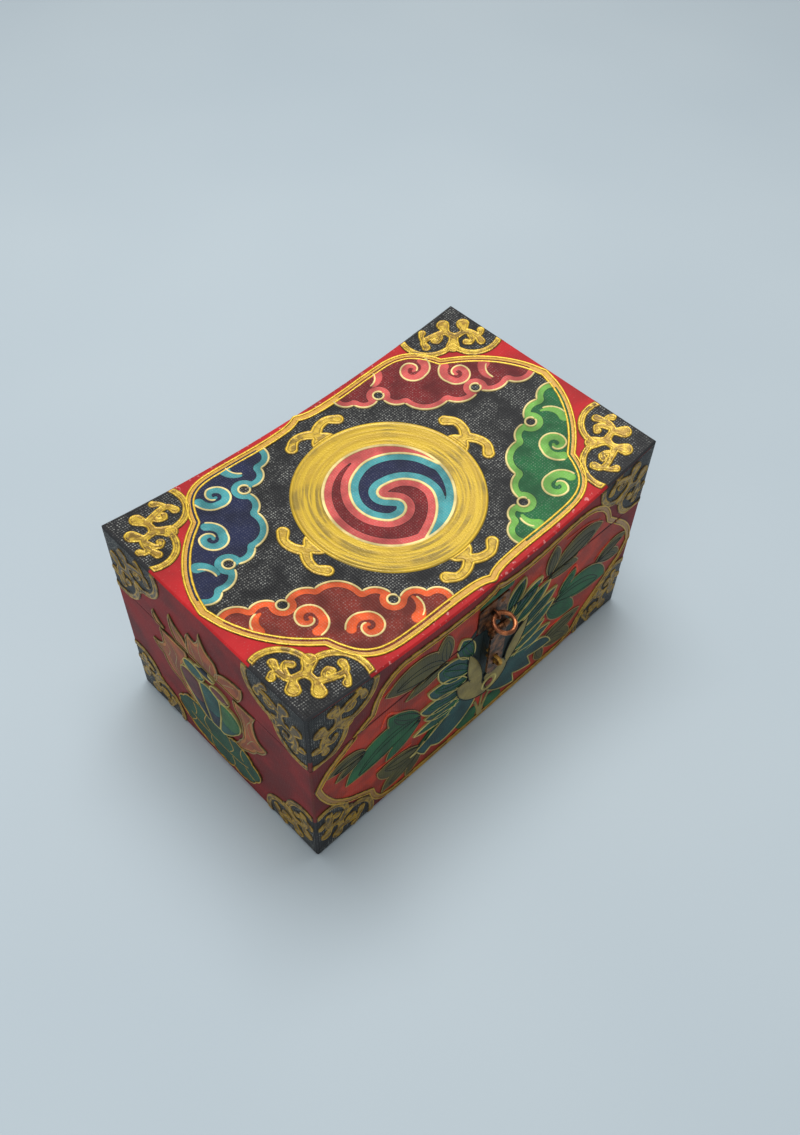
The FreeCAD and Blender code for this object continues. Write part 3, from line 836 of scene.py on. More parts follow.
# %% Corner mounts
CORNER_DRAWN = 30.0
CORNER_BORDER = [(29.4, 0), (15.8, 16.4), (0, 28.4)]
CORNER_SWELL = [0.3, 0.3]
SCROLL_WEIGHT = 1.42
BORDER_HALF = 1.5
CORNER_EDGE = 0.9
CORNER_STEP = 0.29
SCROLL = [
    ([(16.4, 17.2), (14, 15.2), (12, 13.5)], [2.2, 1.6, 1.5]),
    ([(12, 13.8), (9.5, 14.4), (7, 14.4), (4.2, 11.2)], [1.4, 1.1, 1.3, 2.1]),
    ([(6.8, 14.6), (5.4, 17.4), (5.2, 20.4), (6.2, 24.0)], [1.3, 1.2, 1.1, 1.4]),
    ([(5.2, 19.6), (3.4, 20.8), (1.7, 19.4)], [1.0, 0.9, 1.3]),
    ([(6.4, 17.0), (7.6, 20.0), (9.4, 21.2), (10.6, 19.6)], [1.0, 1.0, 0.9, 1.3]),
    ([(12, 13.8), (12.4, 10.4), (11.9, 8.4), (10.4, 5.4)], [1.4, 1.1, 1.3, 2.1]),
    ([(12.6, 8.8), (16.5, 7.4), (20.6, 6.2), (23.4, 6.6), (24.4, 9.4)], [1.3, 1.2, 1.1, 1.0, 1.4]),
    ([(22.6, 6.0), (21.6, 3.6), (19.8, 2.2)], [1.0, 0.9, 1.3]),
    ([(15.4, 7.6), (16.4, 9.8), (18.6, 10.6), (19.4, 9.2)], [1.0, 1.0, 0.9, 1.2]),
]


def corner_mount(name, face, corner, flip, size, body, slot, clip=None):
    """The ground, border and scroll of a corner at a place in the drawing, with flip as the way inwards."""
    corner, flip, size = (np.asarray(value, float) for value in (corner, flip, size))
    place = lambda drawn: corner + flip * np.asarray(drawn, float) * size / CORNER_DRAWN
    border = even(place(chain(CORNER_BORDER, CORNER_SWELL)))
    # Upright faces take the darker gold, which has their shade painted in.
    gilding = GOLD if face is on_top else SHADED_SIDE_GOLD
    inside = lambda u, v: np.maximum(-(u - corner[0]) * flip[0], -(v - corner[1]) * flip[1])
    limit = inside if clip is None else lambda u, v: np.maximum(inside(u, v), clip(u, v))
    ground = np.vstack([place([(0, 0)]), border])
    relief(f"{name}_ground", face, patch(ground), BLACK, body, slot, step=GROUND_STEP, height=0.14,
           edge=0.1, clip=limit)
    relief(f"{name}_border", face, strokes([(border, [BORDER_HALF, BORDER_HALF])]), gilding, body, slot,
           step=CORNER_STEP, height=0.6, clip=limit, cord=0.85)
    lines = [(even(place(spline(points, fine=12))), np.array(widths) * SCROLL_WEIGHT)
             for points, widths in SCROLL]
    relief(f"{name}_scroll", face, strokes(lines), gilding, body, slot, step=CORNER_STEP, height=0.65,
           clip=limit, cord=0.8)


TOP_CORNER = (29.5, 29.5)
for side_name, flip_u in (("left", 1), ("right", -1)):
    for end_name, flip_v, edge_y in (("front", 1, FRONT_Y), ("back", -1, BACK_Y)):
        corner = (-flip_u * (HALF_LENGTH - CORNER_EDGE), edge_y + flip_v * CORNER_EDGE)
        corner_mount(f"top_{end_name}_{side_name}", on_top, corner, (flip_u, flip_v), TOP_CORNER, "lid",
                     "lid_paint")

# %% [markdown]
# ## Pieces that cross the seam
# The front and the ends are painted over the join between base and lid. When the lid opens, the picture
# parts there, so a shape that crosses the seam is cut from the same drawing twice: once for each body. A
# knife cut through a finished mesh would leave it open there, while a drawing cut first is closed like
# any other.

# %% Split pieces
SEAM_CLEAR = 0.15
PARTS = {"lid": "lid_paint", "base": "side_paint"}
RIM_CLEAR = 1.0
LONG_LID_MOUNT = (29.5, 34.0)
END_LID_MOUNT = (30.0, 33.0)
BASE_MOUNT = (27.0, 31.0)


def beyond(body):
    """How far a place lies past the seam for a body; it is negative on the body's own side."""
    if body == "lid":
        return lambda u, v: SEAM_HIGH + SEAM_CLEAR - v
    return lambda u, v: v - SEAM_LOW + SEAM_CLEAR


def split_relief(name, face, drawn, paint, trim=None, **sizes):
    """A relief made once for each body that its drawing reaches."""
    shape, box = drawn
    for body, slot in PARTS.items():
        cut = beyond(body)
        limit = cut if trim is None else lambda u, v, cut=cut: np.maximum(cut(u, v), trim(u, v))
        part = box.copy()
        part[1] = max(box[1], SEAM_HIGH) if body == "lid" else box[1]
        part[3] = min(box[3], SEAM_LOW) if body == "base" else box[3]
        if part[3] > part[1]:
            relief(f"{name}_{body}", face, (shape, part), paint, body, slot, clip=limit, **sizes)


def split_bead(name, face, paths, paint, **sizes):
    """Beads made once for each body, stopping short of the seam."""
    for body, slot in PARTS.items():
        cut = beyond(body)
        keep = lambda u, v, cut=cut: cut(u, v) < -SEAM_CLEAR
        bead(f"{name}_{body}", face, paths, paint, body, slot, keep=keep, **sizes)


def under_rim(y):
    """How far a place on the front or the back, at y, lies past a line just below the lid's dished edge."""
    return lambda u, v: v - lid_height(u, y) + RIM_CLEAR


def side_mounts(face_name, face, half, upper, lower, trim=None):
    """The four corner mounts of one upright face: two on the lid and two on the base."""
    on_lid = lambda u, v: np.maximum(beyond("lid")(u, v), -1 if trim is None else trim(u, v))
    for side_name, flip in (("one", 1), ("two", -1)):
        edge = -flip * (half - CORNER_EDGE)
        corner_mount(f"{face_name}_lid_{side_name}", face, (edge, LID_TOP - CORNER_EDGE), (flip, -1), upper,
                     "lid", "lid_paint", on_lid)
        corner_mount(f"{face_name}_base_{side_name}", face, (edge, CORNER_EDGE), (flip, 1), lower,
                     "base", "side_paint")


# %% [markdown]
# ## The front: field, frame and corners
# The front's frame is cusped like the lid's, but it was drawn by eye and its two halves differ. The field
# inside is a brick red, and under the lid's dished edge everything stops a little short of the worn rim.
# It could be the lid's frame stretched, but the eye sees that at once, so its runs have their own points.

# %% Front field
FIELD = cloth_paint("brick_field", (168, 48, 28), rub=(200, 120, 92), rubbing=0.2)
OLIVE = cloth_paint("olive_leaf", (84, 80, 44), rub=(140, 132, 84), rubbing=0.15)
GREEN = cloth_paint("green_leaf", (30, 90, 52), rub=(100, 150, 104), rubbing=0.15)
LOTUS = cloth_paint("lotus_teal", (36, 72, 72), rub=(104, 144, 126), rubbing=0.2)
KHAKI = cloth_paint("khaki_cup", (138, 124, 72), rub=(198, 182, 128), rubbing=0.2)
RED_EDGE = cloth_paint("red_edge", (204, 62, 28), hollow_dirt_and_shade=0.35)
PALE_LINE = cloth_paint("pale_line", (184, 172, 104), rubbing=0.15, hollow_dirt_and_shade=0.35)
DEEP_LINE = cloth_paint("deep_line", (28, 38, 34), rubbing=0.1)
# lotus_shade is both the dark ground between the petals and the painted shadow under the hasp's strap.
LOTUS_SHADE = cloth_paint("lotus_shade", (22, 40, 40), rub=(80, 108, 100), rubbing=0.15)
LEAF_LINE = gold_paint("leaf_line", (140, 114, 50), (100, 80, 38), dark=(44, 36, 20), metal=0.15)
FRONT_BAND = 1.45
FRONT_LINE_INSET = 0.35
FRONT_LEFT = [
    [(1.5, 90.4), (-4, 88.5), (-12.5, 87.7), (-27.5, 88.3), (-40, 89.7), (-47.5, 89.9), (-53.8, 86.8),
     (-58.1, 82), (-61.2, 73.3)],
    [(-61.2, 73.3), (-67.5, 69.5), (-75, 64.5), (-82.5, 58.9), (-87.6, 52)],
    [(-87.6, 52), (-85.6, 44.5), (-81.2, 34.5), (-75, 27), (-68, 21.6), (-61.9, 17)],
    [(-61.9, 17), (-60.4, 10.8), (-57.3, 6), (-51.5, 3.3), (-40, 2.4), (0, 2.4)],
]
FRONT_RIGHT = [
    [(0, 2.4), (40, 2.4), (52.5, 3.2), (58.5, 6.4), (62.2, 12.5), (66.2, 18.3)],
    [(66.2, 18.3), (71.2, 23.3), (77.5, 30.8), (84, 38.3), (87.6, 46.4)],
    [(87.6, 46.4), (85, 54.6), (80, 62), (73.8, 68.3), (68.1, 73.9)],
    [(68.1, 73.9), (65.6, 80.4), (61.2, 86), (54, 90), (45, 90.8), (30, 88.6), (17.5, 87.8), (6.5, 88.7),
     (1.5, 90.4)],
]
front_frame = np.vstack([spline(run)[:-1] for run in FRONT_LEFT + FRONT_RIGHT])
split_relief("front_field", on_front, patch(front_frame), FIELD, under_rim(FRONT_Y), step=FIELD_STEP,
             height=0.1, edge=0.06)
split_bead("front_frame_band", on_front, [closed_loop(front_frame)], SHADED_SIDE_OCHRE, half_width=FRONT_BAND,
           height=0.25, base=0.12)
front_inset = FRONT_BAND - FRONT_LINE_INSET
front_lines = [closed_loop(offset_path(front_frame, side * front_inset)) for side in (1, -1)]
split_bead("front_frame_lines", on_front, front_lines, SHADED_SIDE_GOLD, half_width=0.42, height=0.38, base=0.24)
side_mounts("front", on_front, HALF_LENGTH, LONG_LID_MOUNT, BASE_MOUNT, under_rim(FRONT_Y))

# %% [markdown]
# ## Leaves on the front
# Eight leaves of two or three lobes lie round the lotus: low pillows of gesso with dark veins, a thin
# gilded edge, and a red brush line along the upper side. They could be sculpted, but every lobe is only
# two arcs that meet in a point, each with its own swell, so one function draws them all and the veins can
# follow the same arcs.

# %% Leaves
OVERLAP = 0.05
VEIN_BEND = 0.62
LEAVES = {
    "upper_left": (OLIVE, [((-23.8, 67), (-55.2, 77.7), 0.36, 0.12),
                           ((-24, 67.3), (-25.2, 85.8), 0.2, 0.27),
                           ((-22.5, 66.2), (-45, 63.6), 0.2, 0.12)]),
    "upper_right": (OLIVE, [((34.5, 68), (63.5, 76.4), 0.16, 0.31), ((32.5, 68.5), (34, 86), 0.25, 0.18),
                            ((32, 66.5), (51.2, 63), 0.12, 0.27)]),
    "left": (GREEN, [((-36.2, 43.3), (-74.8, 37.7), 0.38, 0.09), ((-36.2, 44), (-53.5, 62), 0.12, 0.27),
                     ((-36, 41.5), (-54.4, 30.6), 0.27, 0.16)]),
    "right": (GREEN, [((40, 44.5), (75.6, 32.4), 0.11, 0.31), ((42.5, 47), (51, 57.7), 0.33, 0.2),
                      ((36.2, 43.3), (56, 27), 0.24, 0.22)]),
    "far_left": (OLIVE, [((-64.4, 51.6), (-83.4, 54.8), 0.31, 0.07),
                         ((-65, 51.2), (-79.6, 46.8), 0.25, 0.14)]),
    "far_right": (OLIVE, [((66, 47.5), (85, 52.6), 0.11, 0.29), ((67.5, 47.5), (82.6, 41), 0.14, 0.31)]),
    "lower_left": (OLIVE, [((-35, 19), (-59, 27), 0.16, 0.36), ((-35, 18), (-56.5, 8.2), 0.29, 0.18),
                           ((-34.5, 17), (-43.1, 4.2), 0.22, 0.18)]),
    "lower_right": (OLIVE, [((36, 19), (61.5, 21.5), 0.27, 0.18), ((36, 18), (57.5, 7), 0.18, 0.27),
                            ((35, 17), (39.5, 4.2), 0.27, 0.18)]),
}
RED_STROKES = [
    [(-56.5, 79.2), (-46, 82.8), (-35, 82.6)], [(40, 84.2), (52, 83.5), (62, 79)],
    [(-57, 58), (-53.8, 64.6), (-49, 60.4), (-41, 53)], [(44, 54), (50.4, 60), (54, 52)],
    [(-84, 57.6), (-75, 58), (-66, 55)], [(64.5, 50.2), (72, 55), (83, 54)],
    [(-59.6, 30), (-50, 29), (-40, 27)], [(37, 26), (48, 25), (59, 23)],
]
BUD = ([(-8, 83.6), (9.4, 83.6), (10.4, 86.4), (5, 87), (0, 86), (-5, 87)],
       [0.0, 0.2, 0.2, 0.25, 0.25, 0.2])


def lobe(base, tip, right, left):
    """A pointed lobe: an arc out to the tip and one back, each with its swell to that side of the way."""
    return chain([base, tip], [right, left], True)


def spine(base, tip, bend=0.06, reach=0.86):
    """A vein from a lobe's base towards its tip."""
    base, tip = np.asarray(base, float), np.asarray(tip, float)
    return even(arc(base, base + (tip - base) * reach, bend))


def lobe_veins(base, tip, right, left):
    """A middle vein and one on each side of it, bent as the lobe is."""
    bends = [(right - left) / 2, right * VEIN_BEND, -left * VEIN_BEND]
    return [spine(base, tip, bend) for bend in bends]


def fan_of_lobes(name, lobes, paint, height, edge, soft):
    """A pillow for each lobe, each a little higher than the one before, so that they overlap like a fan."""
    for count, plan in enumerate(lobes):
        raised = OVERLAP * count
        split_relief(f"{name}_{count}", on_front, patch(lobe(*plan)), paint, step=PAINT_STEP,
                     height=height + raised, edge=edge + raised, soft=soft)


leaf_lobes = [plan for leaf_paint, lobes in LEAVES.values() for plan in lobes]
for leaf_name, (leaf_paint, lobes) in LEAVES.items():
    fan_of_lobes(f"front_leaf_{leaf_name}", lobes, leaf_paint, height=0.65, edge=0.2, soft=2.6)
split_relief("front_bud", on_front, patch(chain(*BUD, True)), GREEN, step=PAINT_STEP, height=0.6, edge=0.2,
             soft=2.0)
split_bead("front_leaf_veins", on_front, [vein for plan in leaf_lobes for vein in lobe_veins(*plan)],
           DEEP_LINE, half_width=0.24, height=0.14, base=0.62)
split_bead("front_leaf_edges", on_front, [lobe(*plan) for plan in leaf_lobes], LEAF_LINE,
           half_width=0.3, height=0.25, base=0.3)
split_bead("front_red_strokes", on_front, [spline(run) for run in RED_STROKES], RED_EDGE,
           half_width=0.6, height=0.25, base=0.15)

# %% [markdown]
# ## The lotus
# A dark teal lotus opens behind the hasp in two fans of petals, over a darker ground that shows between
# them. The same dark ground reaches in to the hasp and runs on under its strap, where it is painted
# shadow of the hasp and strap. The petals could be bent planes, but on the real box they are flat pillows
# with pale raised lines, so the leaf's functions serve again. Two larger petals hang below and end in torn
# points.

# %% Petals
PETALS = {
    "left": [((-9, 57.5), (-16.4, 74), 0.18, 0.28), ((-10.5, 48), (-28.5, 65.8), 0.26, 0.23),
             ((-11, 43), (-33.1, 55.8), 0.15, 0.24), ((-13, 36.5), (-36.9, 46.4), 0.15, 0.22),
             ((-13.5, 31), (-34.4, 38.3), 0.13, 0.19), ((-14, 27), (-40, 32), 0.13, 0.1)],
    "right": [((9.6, 66), (16.9, 82.5), 0.21, 0.28), ((11, 60), (28.1, 73), 0.24, 0.21),
              ((14, 54), (33.8, 66.2), 0.24, 0.15), ((17, 47), (39.4, 57), 0.24, 0.15),
              ((17, 40), (39.4, 48.3), 0.22, 0.15), ((17, 33.5), (35, 38.6), 0.22, 0.15),
              ((16.5, 28), (40, 31), 0.18, 0.13)],
}
BIG_PETALS = [
    ([(-14, 33.5), (-41.5, 17.5), (-37.5, 17.2), (-33.1, 10.5), (-29.5, 12.8), (-24.4, 8.7), (-5, 19.8)],
     [-0.06, 0.0, 0.05, 0.0, 0.05, 0.15, 0.2]),
    ([(14.4, 31), (3.1, 18.6), (20.6, 6.6), (19, 14.5), (31.2, 8.9), (28, 18), (43.3, 14.2), (35, 24)],
     [0.1, 0.08, 0.0, 0.05, 0.0, 0.05, 0.1, 0.0]),
]
# The first two patches are the dark ground between the petals, reaching in to the hasp, where they become
# painted shadow; the third lies under the strap and is only painted shadow.
LOTUS_BACK_AND_STRAP_SHADOW = [
    [(-5, 76), (-8.8, 68.4), (-4, 68), (-4, 24), (-30, 28), (-26, 37), (-27, 45), (-25, 54), (-19, 63)],
    [(8.8, 74), (13, 72), (21, 68), (27, 60), (30, 53), (31, 45), (28, 38), (31, 29), (8, 24), (8.8, 60)],
    [(-4, 24), (8, 24), (8.8, 60), (8.6, 67.6), (-4, 67.6)],
]


def outlined_reliefs(name, plans, paint, **sizes):
    """A relief for each plan of tips and swells; gives back the outlines, for the lines round them."""
    outlines = [chain(tips, swells, True) for tips, swells in plans]
    for count, outline in enumerate(outlines):
        split_relief(f"{name}_{count}", on_front, patch(outline), paint, **sizes)
    return outlines


outlined_reliefs("front_lotus_back_and_strap_shadow", [(run, [0.0] * len(run)) for run in LOTUS_BACK_AND_STRAP_SHADOW], LOTUS_SHADE,
                 step=GROUND_STEP, height=0.32, edge=0.2)
for side_name, fan in PETALS.items():
    fan_of_lobes(f"front_petal_{side_name}", fan, LOTUS, height=0.62, edge=0.3, soft=2.0)
petals = PETALS["left"] + PETALS["right"]
petal_lines = [lobe(*plan) for plan in petals]
petal_lines += outlined_reliefs("front_big_petal", BIG_PETALS, LOTUS, step=PAINT_STEP, height=1.0, edge=0.5,
                                soft=3.0)
petal_veins = [vein for plan in petals for vein in lobe_veins(*plan)]
petal_veins += [spine(tips[0], tip) for tips, swells in BIG_PETALS for tip in tips[1:]]
split_bead("front_petal_veins", on_front, petal_veins, GREEN, half_width=0.25, height=0.15, base=0.78)
split_bead("front_petal_lines", on_front, petal_lines, PALE_LINE, half_width=0.3, height=0.36, base=0.62)

# %% [markdown]
# ## Cup, seed and stalk
# The middle of the flower is a khaki cup with a seed in a pale ring, on a short stalk with two leaves.
# They could be modelled in the round, but they are kept low, so that the hasp's strap swings clear of
# them, and the same outlines and strokes make them.

# %% Cup and stalk
CUP = [
    ([(-11.4, 59.5), (-2, 24)], [0.1, 0.1]), ([(12, 28), (23.1, 52.7)], [0.1, 0.18]),
    ([(-17, 42), (2, 19.3), (-3, 33), (-10.5, 41)], [0.18, 0.05, 0.0, 0.1]),
    ([(2, 19.3), (13.5, 29.5), (6.5, 38), (-1, 33)], [0.2, 0.1, 0.0, 0.0]),
]
SEED = (2.6, 26)
SEED_RING_RADIUS = 4.0
SEED_RADIUS = 1.2
STALK = [([(-3.6, 16), (-1.6, 9), (-0.6, 3)], [0.8, 1.0]), ([(4.5, 16), (1.8, 9), (0.6, 3)], [0.8, 1.0]),
         ([(0.4, 17), (0, 9), (0, 3)], [0.6, 0.9])]
STALK_LEAVES = [[(-14.4, 10.8), (-12.5, 4.6), (-2.6, 4), (-2.8, 12.8)],
                [(3, 12), (3, 4), (13.6, 4.4), (12, 9)]]
STALK_LEAF_SWELL = [0.1, 0.15, 0.1, 0.15]
cup_lines = outlined_reliefs("front_cup", CUP, KHAKI, step=FINE_STEP, height=1.25, edge=0.7, soft=2.0)
split_bead("front_cup_lines", on_front, cup_lines, DEEP_LINE, half_width=0.25, height=0.3, base=0.85)
bead("front_seed_ring", on_front, [circle(SEED, SEED_RING_RADIUS)], PALE_LINE, "base", "side_paint",
     half_width=0.5, height=0.6, base=1.0, closed=True)
bead("front_seed", on_front, [circle(SEED, SEED_RADIUS)], BROWN_RED, "base", "side_paint",
     half_width=1.1, height=0.5, base=1.1, closed=True)
relief("front_stalk", on_front, strokes([(spline(run), widths) for run, widths in STALK]), KHAKI, "base",
       "side_paint", step=0.35, height=0.7, edge=0.2, soft=0.8)
for count, tips in enumerate(STALK_LEAVES):
    relief(f"front_stalk_leaf_{count}", on_front, patch(chain(tips, STALK_LEAF_SWELL, True)), GREEN, "base",
           "side_paint", step=FINE_STEP, height=0.55, edge=0.2, soft=2.0)

# %% [markdown]
# ## Flaming jewels on the ends
# Each end shows a heap of jewels on a lotus foot, with flames behind. The right end is hidden, and boxes
# of this kind are painted alike at both ends, so the same drawing goes on it. An image could carry the
# picture, but on the real box the flames and jewels are raised, so they are reliefs cut from outlines
# like the rest.

# %% Flames
FLAME = cloth_paint("flame_ochre", (176, 112, 58), rub=(225, 170, 90))
FLAME_HEART = cloth_paint("flame_heart", (150, 78, 46), rub=(196, 130, 80))
FLAME_RIM = 1.5
FLAMES = [
    ([(-1.1, 92), (-5, 82.5), (-8.5, 84.3), (-10.4, 77), (-10.4, 69.4), (5, 69.4), (6, 80.6), (2.5, 82.5)],
     [-0.1, -0.05, 0.1, 0.1, 0.0, 0.12, 0.05, -0.08]),
    ([(-19.4, 85.2), (-18, 70), (-10.6, 70), (-12.4, 77)], [0.1, 0.0, 0.1, -0.1]),
    ([(-30.7, 77), (-30, 69.6), (-25, 70.4)], [0.15, 0.0, -0.1]),
    ([(20.5, 80.2), (6, 74.5), (5, 69.6), (17.4, 69.6)], [0.1, 0.1, 0.0, 0.1]),
    ([(-28.8, 67.6), (-28.4, 58), (-35.7, 54), (-30, 48.6), (-27, 42), (-21, 39.5), (-10, 31.5),
      (-16.5, 41), (-18.2, 50), (-14, 60), (-13.2, 67.6)],
     [-0.05, -0.15, 0.1, 0.1, 0.1, 0.1, -0.1, -0.1, -0.1, 0.1, 0.0]),
    ([(26.2, 67.6), (14.4, 67), (17, 58), (17.4, 48), (14.3, 38.5), (8, 30), (19.3, 35.8), (24.3, 42),
      (30.8, 50.2), (25.5, 53.3)], [0.0, 0.1, -0.05, -0.1, -0.1, 0.1, 0.1, 0.1, -0.15, -0.1]),
]
FLAME_LICKS = [
    [(-27, 64), (-24.5, 57), (-27, 50)], [(-24, 66), (-20.4, 58), (-22.4, 48), (-17.6, 41)],
    [(-33, 53.4), (-27, 52.4), (-22.6, 44)], [(24, 64), (21, 57), (22.4, 48)],
    [(29, 50), (23.4, 49), (18.4, 40)], [(-1.1, 88.5), (-2.6, 80), (-1, 71)],
    [(-7.8, 82.6), (-7.4, 76), (-6, 71)], [(4, 79), (2.6, 74), (3, 71)],
    [(-18.2, 82), (-15.6, 76), (-14, 71)], [(17.5, 78), (12, 74), (9, 71)],
    [(18.6, 64), (19.8, 56), (19, 47)],
]


def paint_flames(end_name, face):
    """Each flame with a heart, which is its own shape shrunk, and gilded lines round and along them."""
    flames = [chain(tips, swells, True) for tips, swells in FLAMES]
    for count, outline in enumerate(flames):
        shape, box = patch(outline)
        heart = lambda u, v, shape=shape: shape(u, v) + FLAME_RIM
        split_relief(f"{end_name}_flame_{count}", face, (shape, box), FLAME, step=PAINT_STEP, height=0.6,
                     edge=0.2, soft=2.0)
        split_relief(f"{end_name}_flame_heart_{count}", face, (heart, box), FLAME_HEART, step=PAINT_STEP,
                     height=0.66, edge=0.58)
    split_bead(f"{end_name}_flame_lines", face, flames + [spline(run) for run in FLAME_LICKS], LEAF_LINE,
               half_width=0.34, height=0.35, base=0.4)


# %% [markdown]
# ## Jewels and foot
# Three round jewels crown three long drops, and a green foot of lotus petals carries them. Each drop
# changes colour at its foot: a second relief from the same outline is cut off at a level and lies a hair
# higher.

# %% Jewels and foot
FOOT_GREEN = cloth_paint("foot_green", (32, 72, 52), rub=(110, 150, 120))
JEWEL_TEAL = cloth_paint("jewel_teal", (38, 82, 78), rub=(150, 180, 160))
JEWEL_GREEN = cloth_paint("jewel_green", (52, 100, 60), rub=(170, 180, 120))
JEWEL_PLUM = cloth_paint("jewel_plum", (92, 46, 50), rub=(180, 130, 110))
JEWEL_NAVY = cloth_paint("jewel_navy", (36, 44, 58), rub=(130, 140, 150))
CROWN = [((-2.0, 65.8), (5.6, 2.0), JEWEL_NAVY), ((-9.4, 60.4), (6.0, 4.6), JEWEL_TEAL),
         ((5.6, 59.4), (5.4, 3.6), JEWEL_PLUM)]
DROPS = [
    ([(-18.8, 52.3), (-14, 39.8), (-5.2, 30.2), (-3.4, 31), (-5.6, 42), (-7.2, 54.8), (-14.5, 56.4)],
     [0.1, 0.06, 0.0, 0.0, 0.02, 0.1, 0.15], JEWEL_PLUM, JEWEL_NAVY),
    ([(-6.8, 55), (-5.2, 41.5), (-2.9, 30.6), (1.5, 30.6), (3.8, 41.5), (4.6, 55), (-1, 57.8)],
     [0.02, 0.0, 0.0, 0.0, 0.02, 0.12, 0.12], JEWEL_TEAL, JEWEL_NAVY),
    ([(5, 54), (4.2, 42), (2, 31), (4, 30.2), (12.6, 40), (16.4, 49), (13.2, 54.6)],
     [0.0, 0.0, 0.0, 0.05, 0.08, 0.15, 0.15], JEWEL_GREEN, JEWEL_TEAL),
]
DROP_FOOT = 42.0
DROP_LINES = [
    [(-18.2, 50.8), (-13, 48.6), (-7, 50)], [(-14.2, 41.6), (-10, 40.6), (-5.8, 42.2)],
    [(-6.4, 51), (-1, 49), (4.4, 51)], [(-5.2, 42.4), (-0.8, 41.2), (3.8, 42.4)],
    [(4.8, 49.6), (10.4, 47.4), (16, 49)], [(4.4, 43), (8.6, 41.4), (13, 42.4)],
    [(-14.6, 60), (-9.4, 57.6), (-4, 60)], [(1, 58.8), (5.6, 57.2), (10.4, 59)],
]
FOOT = ([(-26.7, 20.8), (-20, 12), (-12.6, 7.6), (-5.7, 7.4), (-0.7, 5.6), (6.8, 8), (14.3, 7), (20.5, 13),
         (24.3, 21.4), (20, 26), (14.3, 31.8), (6.2, 29.6), (-0.7, 31.4), (-7.6, 29.6), (-15.7, 32),
         (-22.5, 27)],
        [0.12, 0.15, 0.15, 0.2, 0.2, 0.2, 0.15, 0.12, 0.12, 0.15, 0.2, 0.2, 0.2, 0.2, 0.15, 0.12])
FOOT_LINES = [
    [(-19.5, 20), (-12, 17.2), (-0.7, 16.4), (10, 17.2), (17.8, 20)], [(-7.6, 29.6), (-9.5, 23), (-6, 17)],
    [(6.2, 29.6), (8.2, 23), (5, 17)], [(-5.7, 7.4), (-7, 12), (-6.4, 16.6)],
    [(6.8, 8), (7.6, 12), (6.4, 16.6)], [(-20, 12), (-16.5, 16), (-16, 18.6)],
    [(20.5, 13), (16, 16), (14.6, 18.6)], [(-15.7, 31), (-14.5, 25), (-16, 20)],
    [(14.3, 31), (13, 25), (14.5, 20)],
]


def ellipse(centre, reach):
    """A closed ellipse about a centre, with its half sizes."""
    return np.asarray(centre, float) + circle((0, 0), 1.0, turn=359) * np.asarray(reach)


def paint_jewels(end_name, face):
    """The crown, the drops with their feet, and the lotus foot under them."""
    rims = [spline(run) for run in DROP_LINES]
    for count, (centre, reach, paint) in enumerate(CROWN):
        outline = even(ellipse(centre, reach))
        split_relief(f"{end_name}_crown_jewel_{count}", face, patch(outline), paint, step=FINE_STEP,
                     height=1.1, edge=0.4, soft=2.6)
        rims.append(outline)
    for count, (tips, swells, paint, foot_paint) in enumerate(DROPS):
        outline = chain(tips, swells, True)
        shape, box = patch(outline)
        below = lambda u, v, shape=shape: np.maximum(shape(u, v), v - DROP_FOOT)
        split_relief(f"{end_name}_drop_{count}", face, (shape, box), paint, step=FINE_STEP, height=1.2,
                     edge=0.4, soft=2.8)
        split_relief(f"{end_name}_drop_foot_{count}", face, (below, box), foot_paint, step=FINE_STEP,
                     height=1.28, edge=0.45, soft=2.6)
        rims.append(outline)
    split_bead(f"{end_name}_jewel_lines", face, rims, PALE_LINE, half_width=0.24, height=0.3, base=0.8)
    outline = chain(*FOOT, True)
    split_relief(f"{end_name}_foot", face, patch(outline), FOOT_GREEN, step=PAINT_STEP, height=0.8,
                 edge=0.25, soft=2.5)
    split_bead(f"{end_name}_foot_lines", face, [outline] + [spline(run) for run in FOOT_LINES], SHADED_SIDE_GOLD,
               half_width=0.36, height=0.4, base=0.5)


for end_name, face in (("left", on_left), ("right", on_right)):
    paint_flames(end_name, face)
    paint_jewels(end_name, face)
    side_mounts(end_name, face, BACK_Y, END_LID_MOUNT, BASE_MOUNT)
side_mounts("back", on_back, HALF_LENGTH, LONG_LID_MOUNT, BASE_MOUNT, under_rim(BACK_Y))

# %% [markdown]
# ## Boards
# The solids keep their shapes and only take finishes. The lid's top is bright red, the sides are a dull
# maroon, and the wood is bare inside. Images would need each board unwrapped, so one finish made of
# formulas knows the difference by where a point lies on the box.

# %% Board paint
EDGE_WEAR = 1.1
TOP_FROM = 90.0
BARE_BELOW = 87.5
BLACK_EDGE = 1.3
BLACK_REACH = 28
BARE_WOOD = (150, 105, 66)
RUBBED_RED = (190, 150, 140)
WORN_EDGE = (92, 52, 40)
SCUFF = (226, 170, 165)
EDGE_BLACK = (44, 45, 47)
EDGE_RUB = (150, 150, 148)


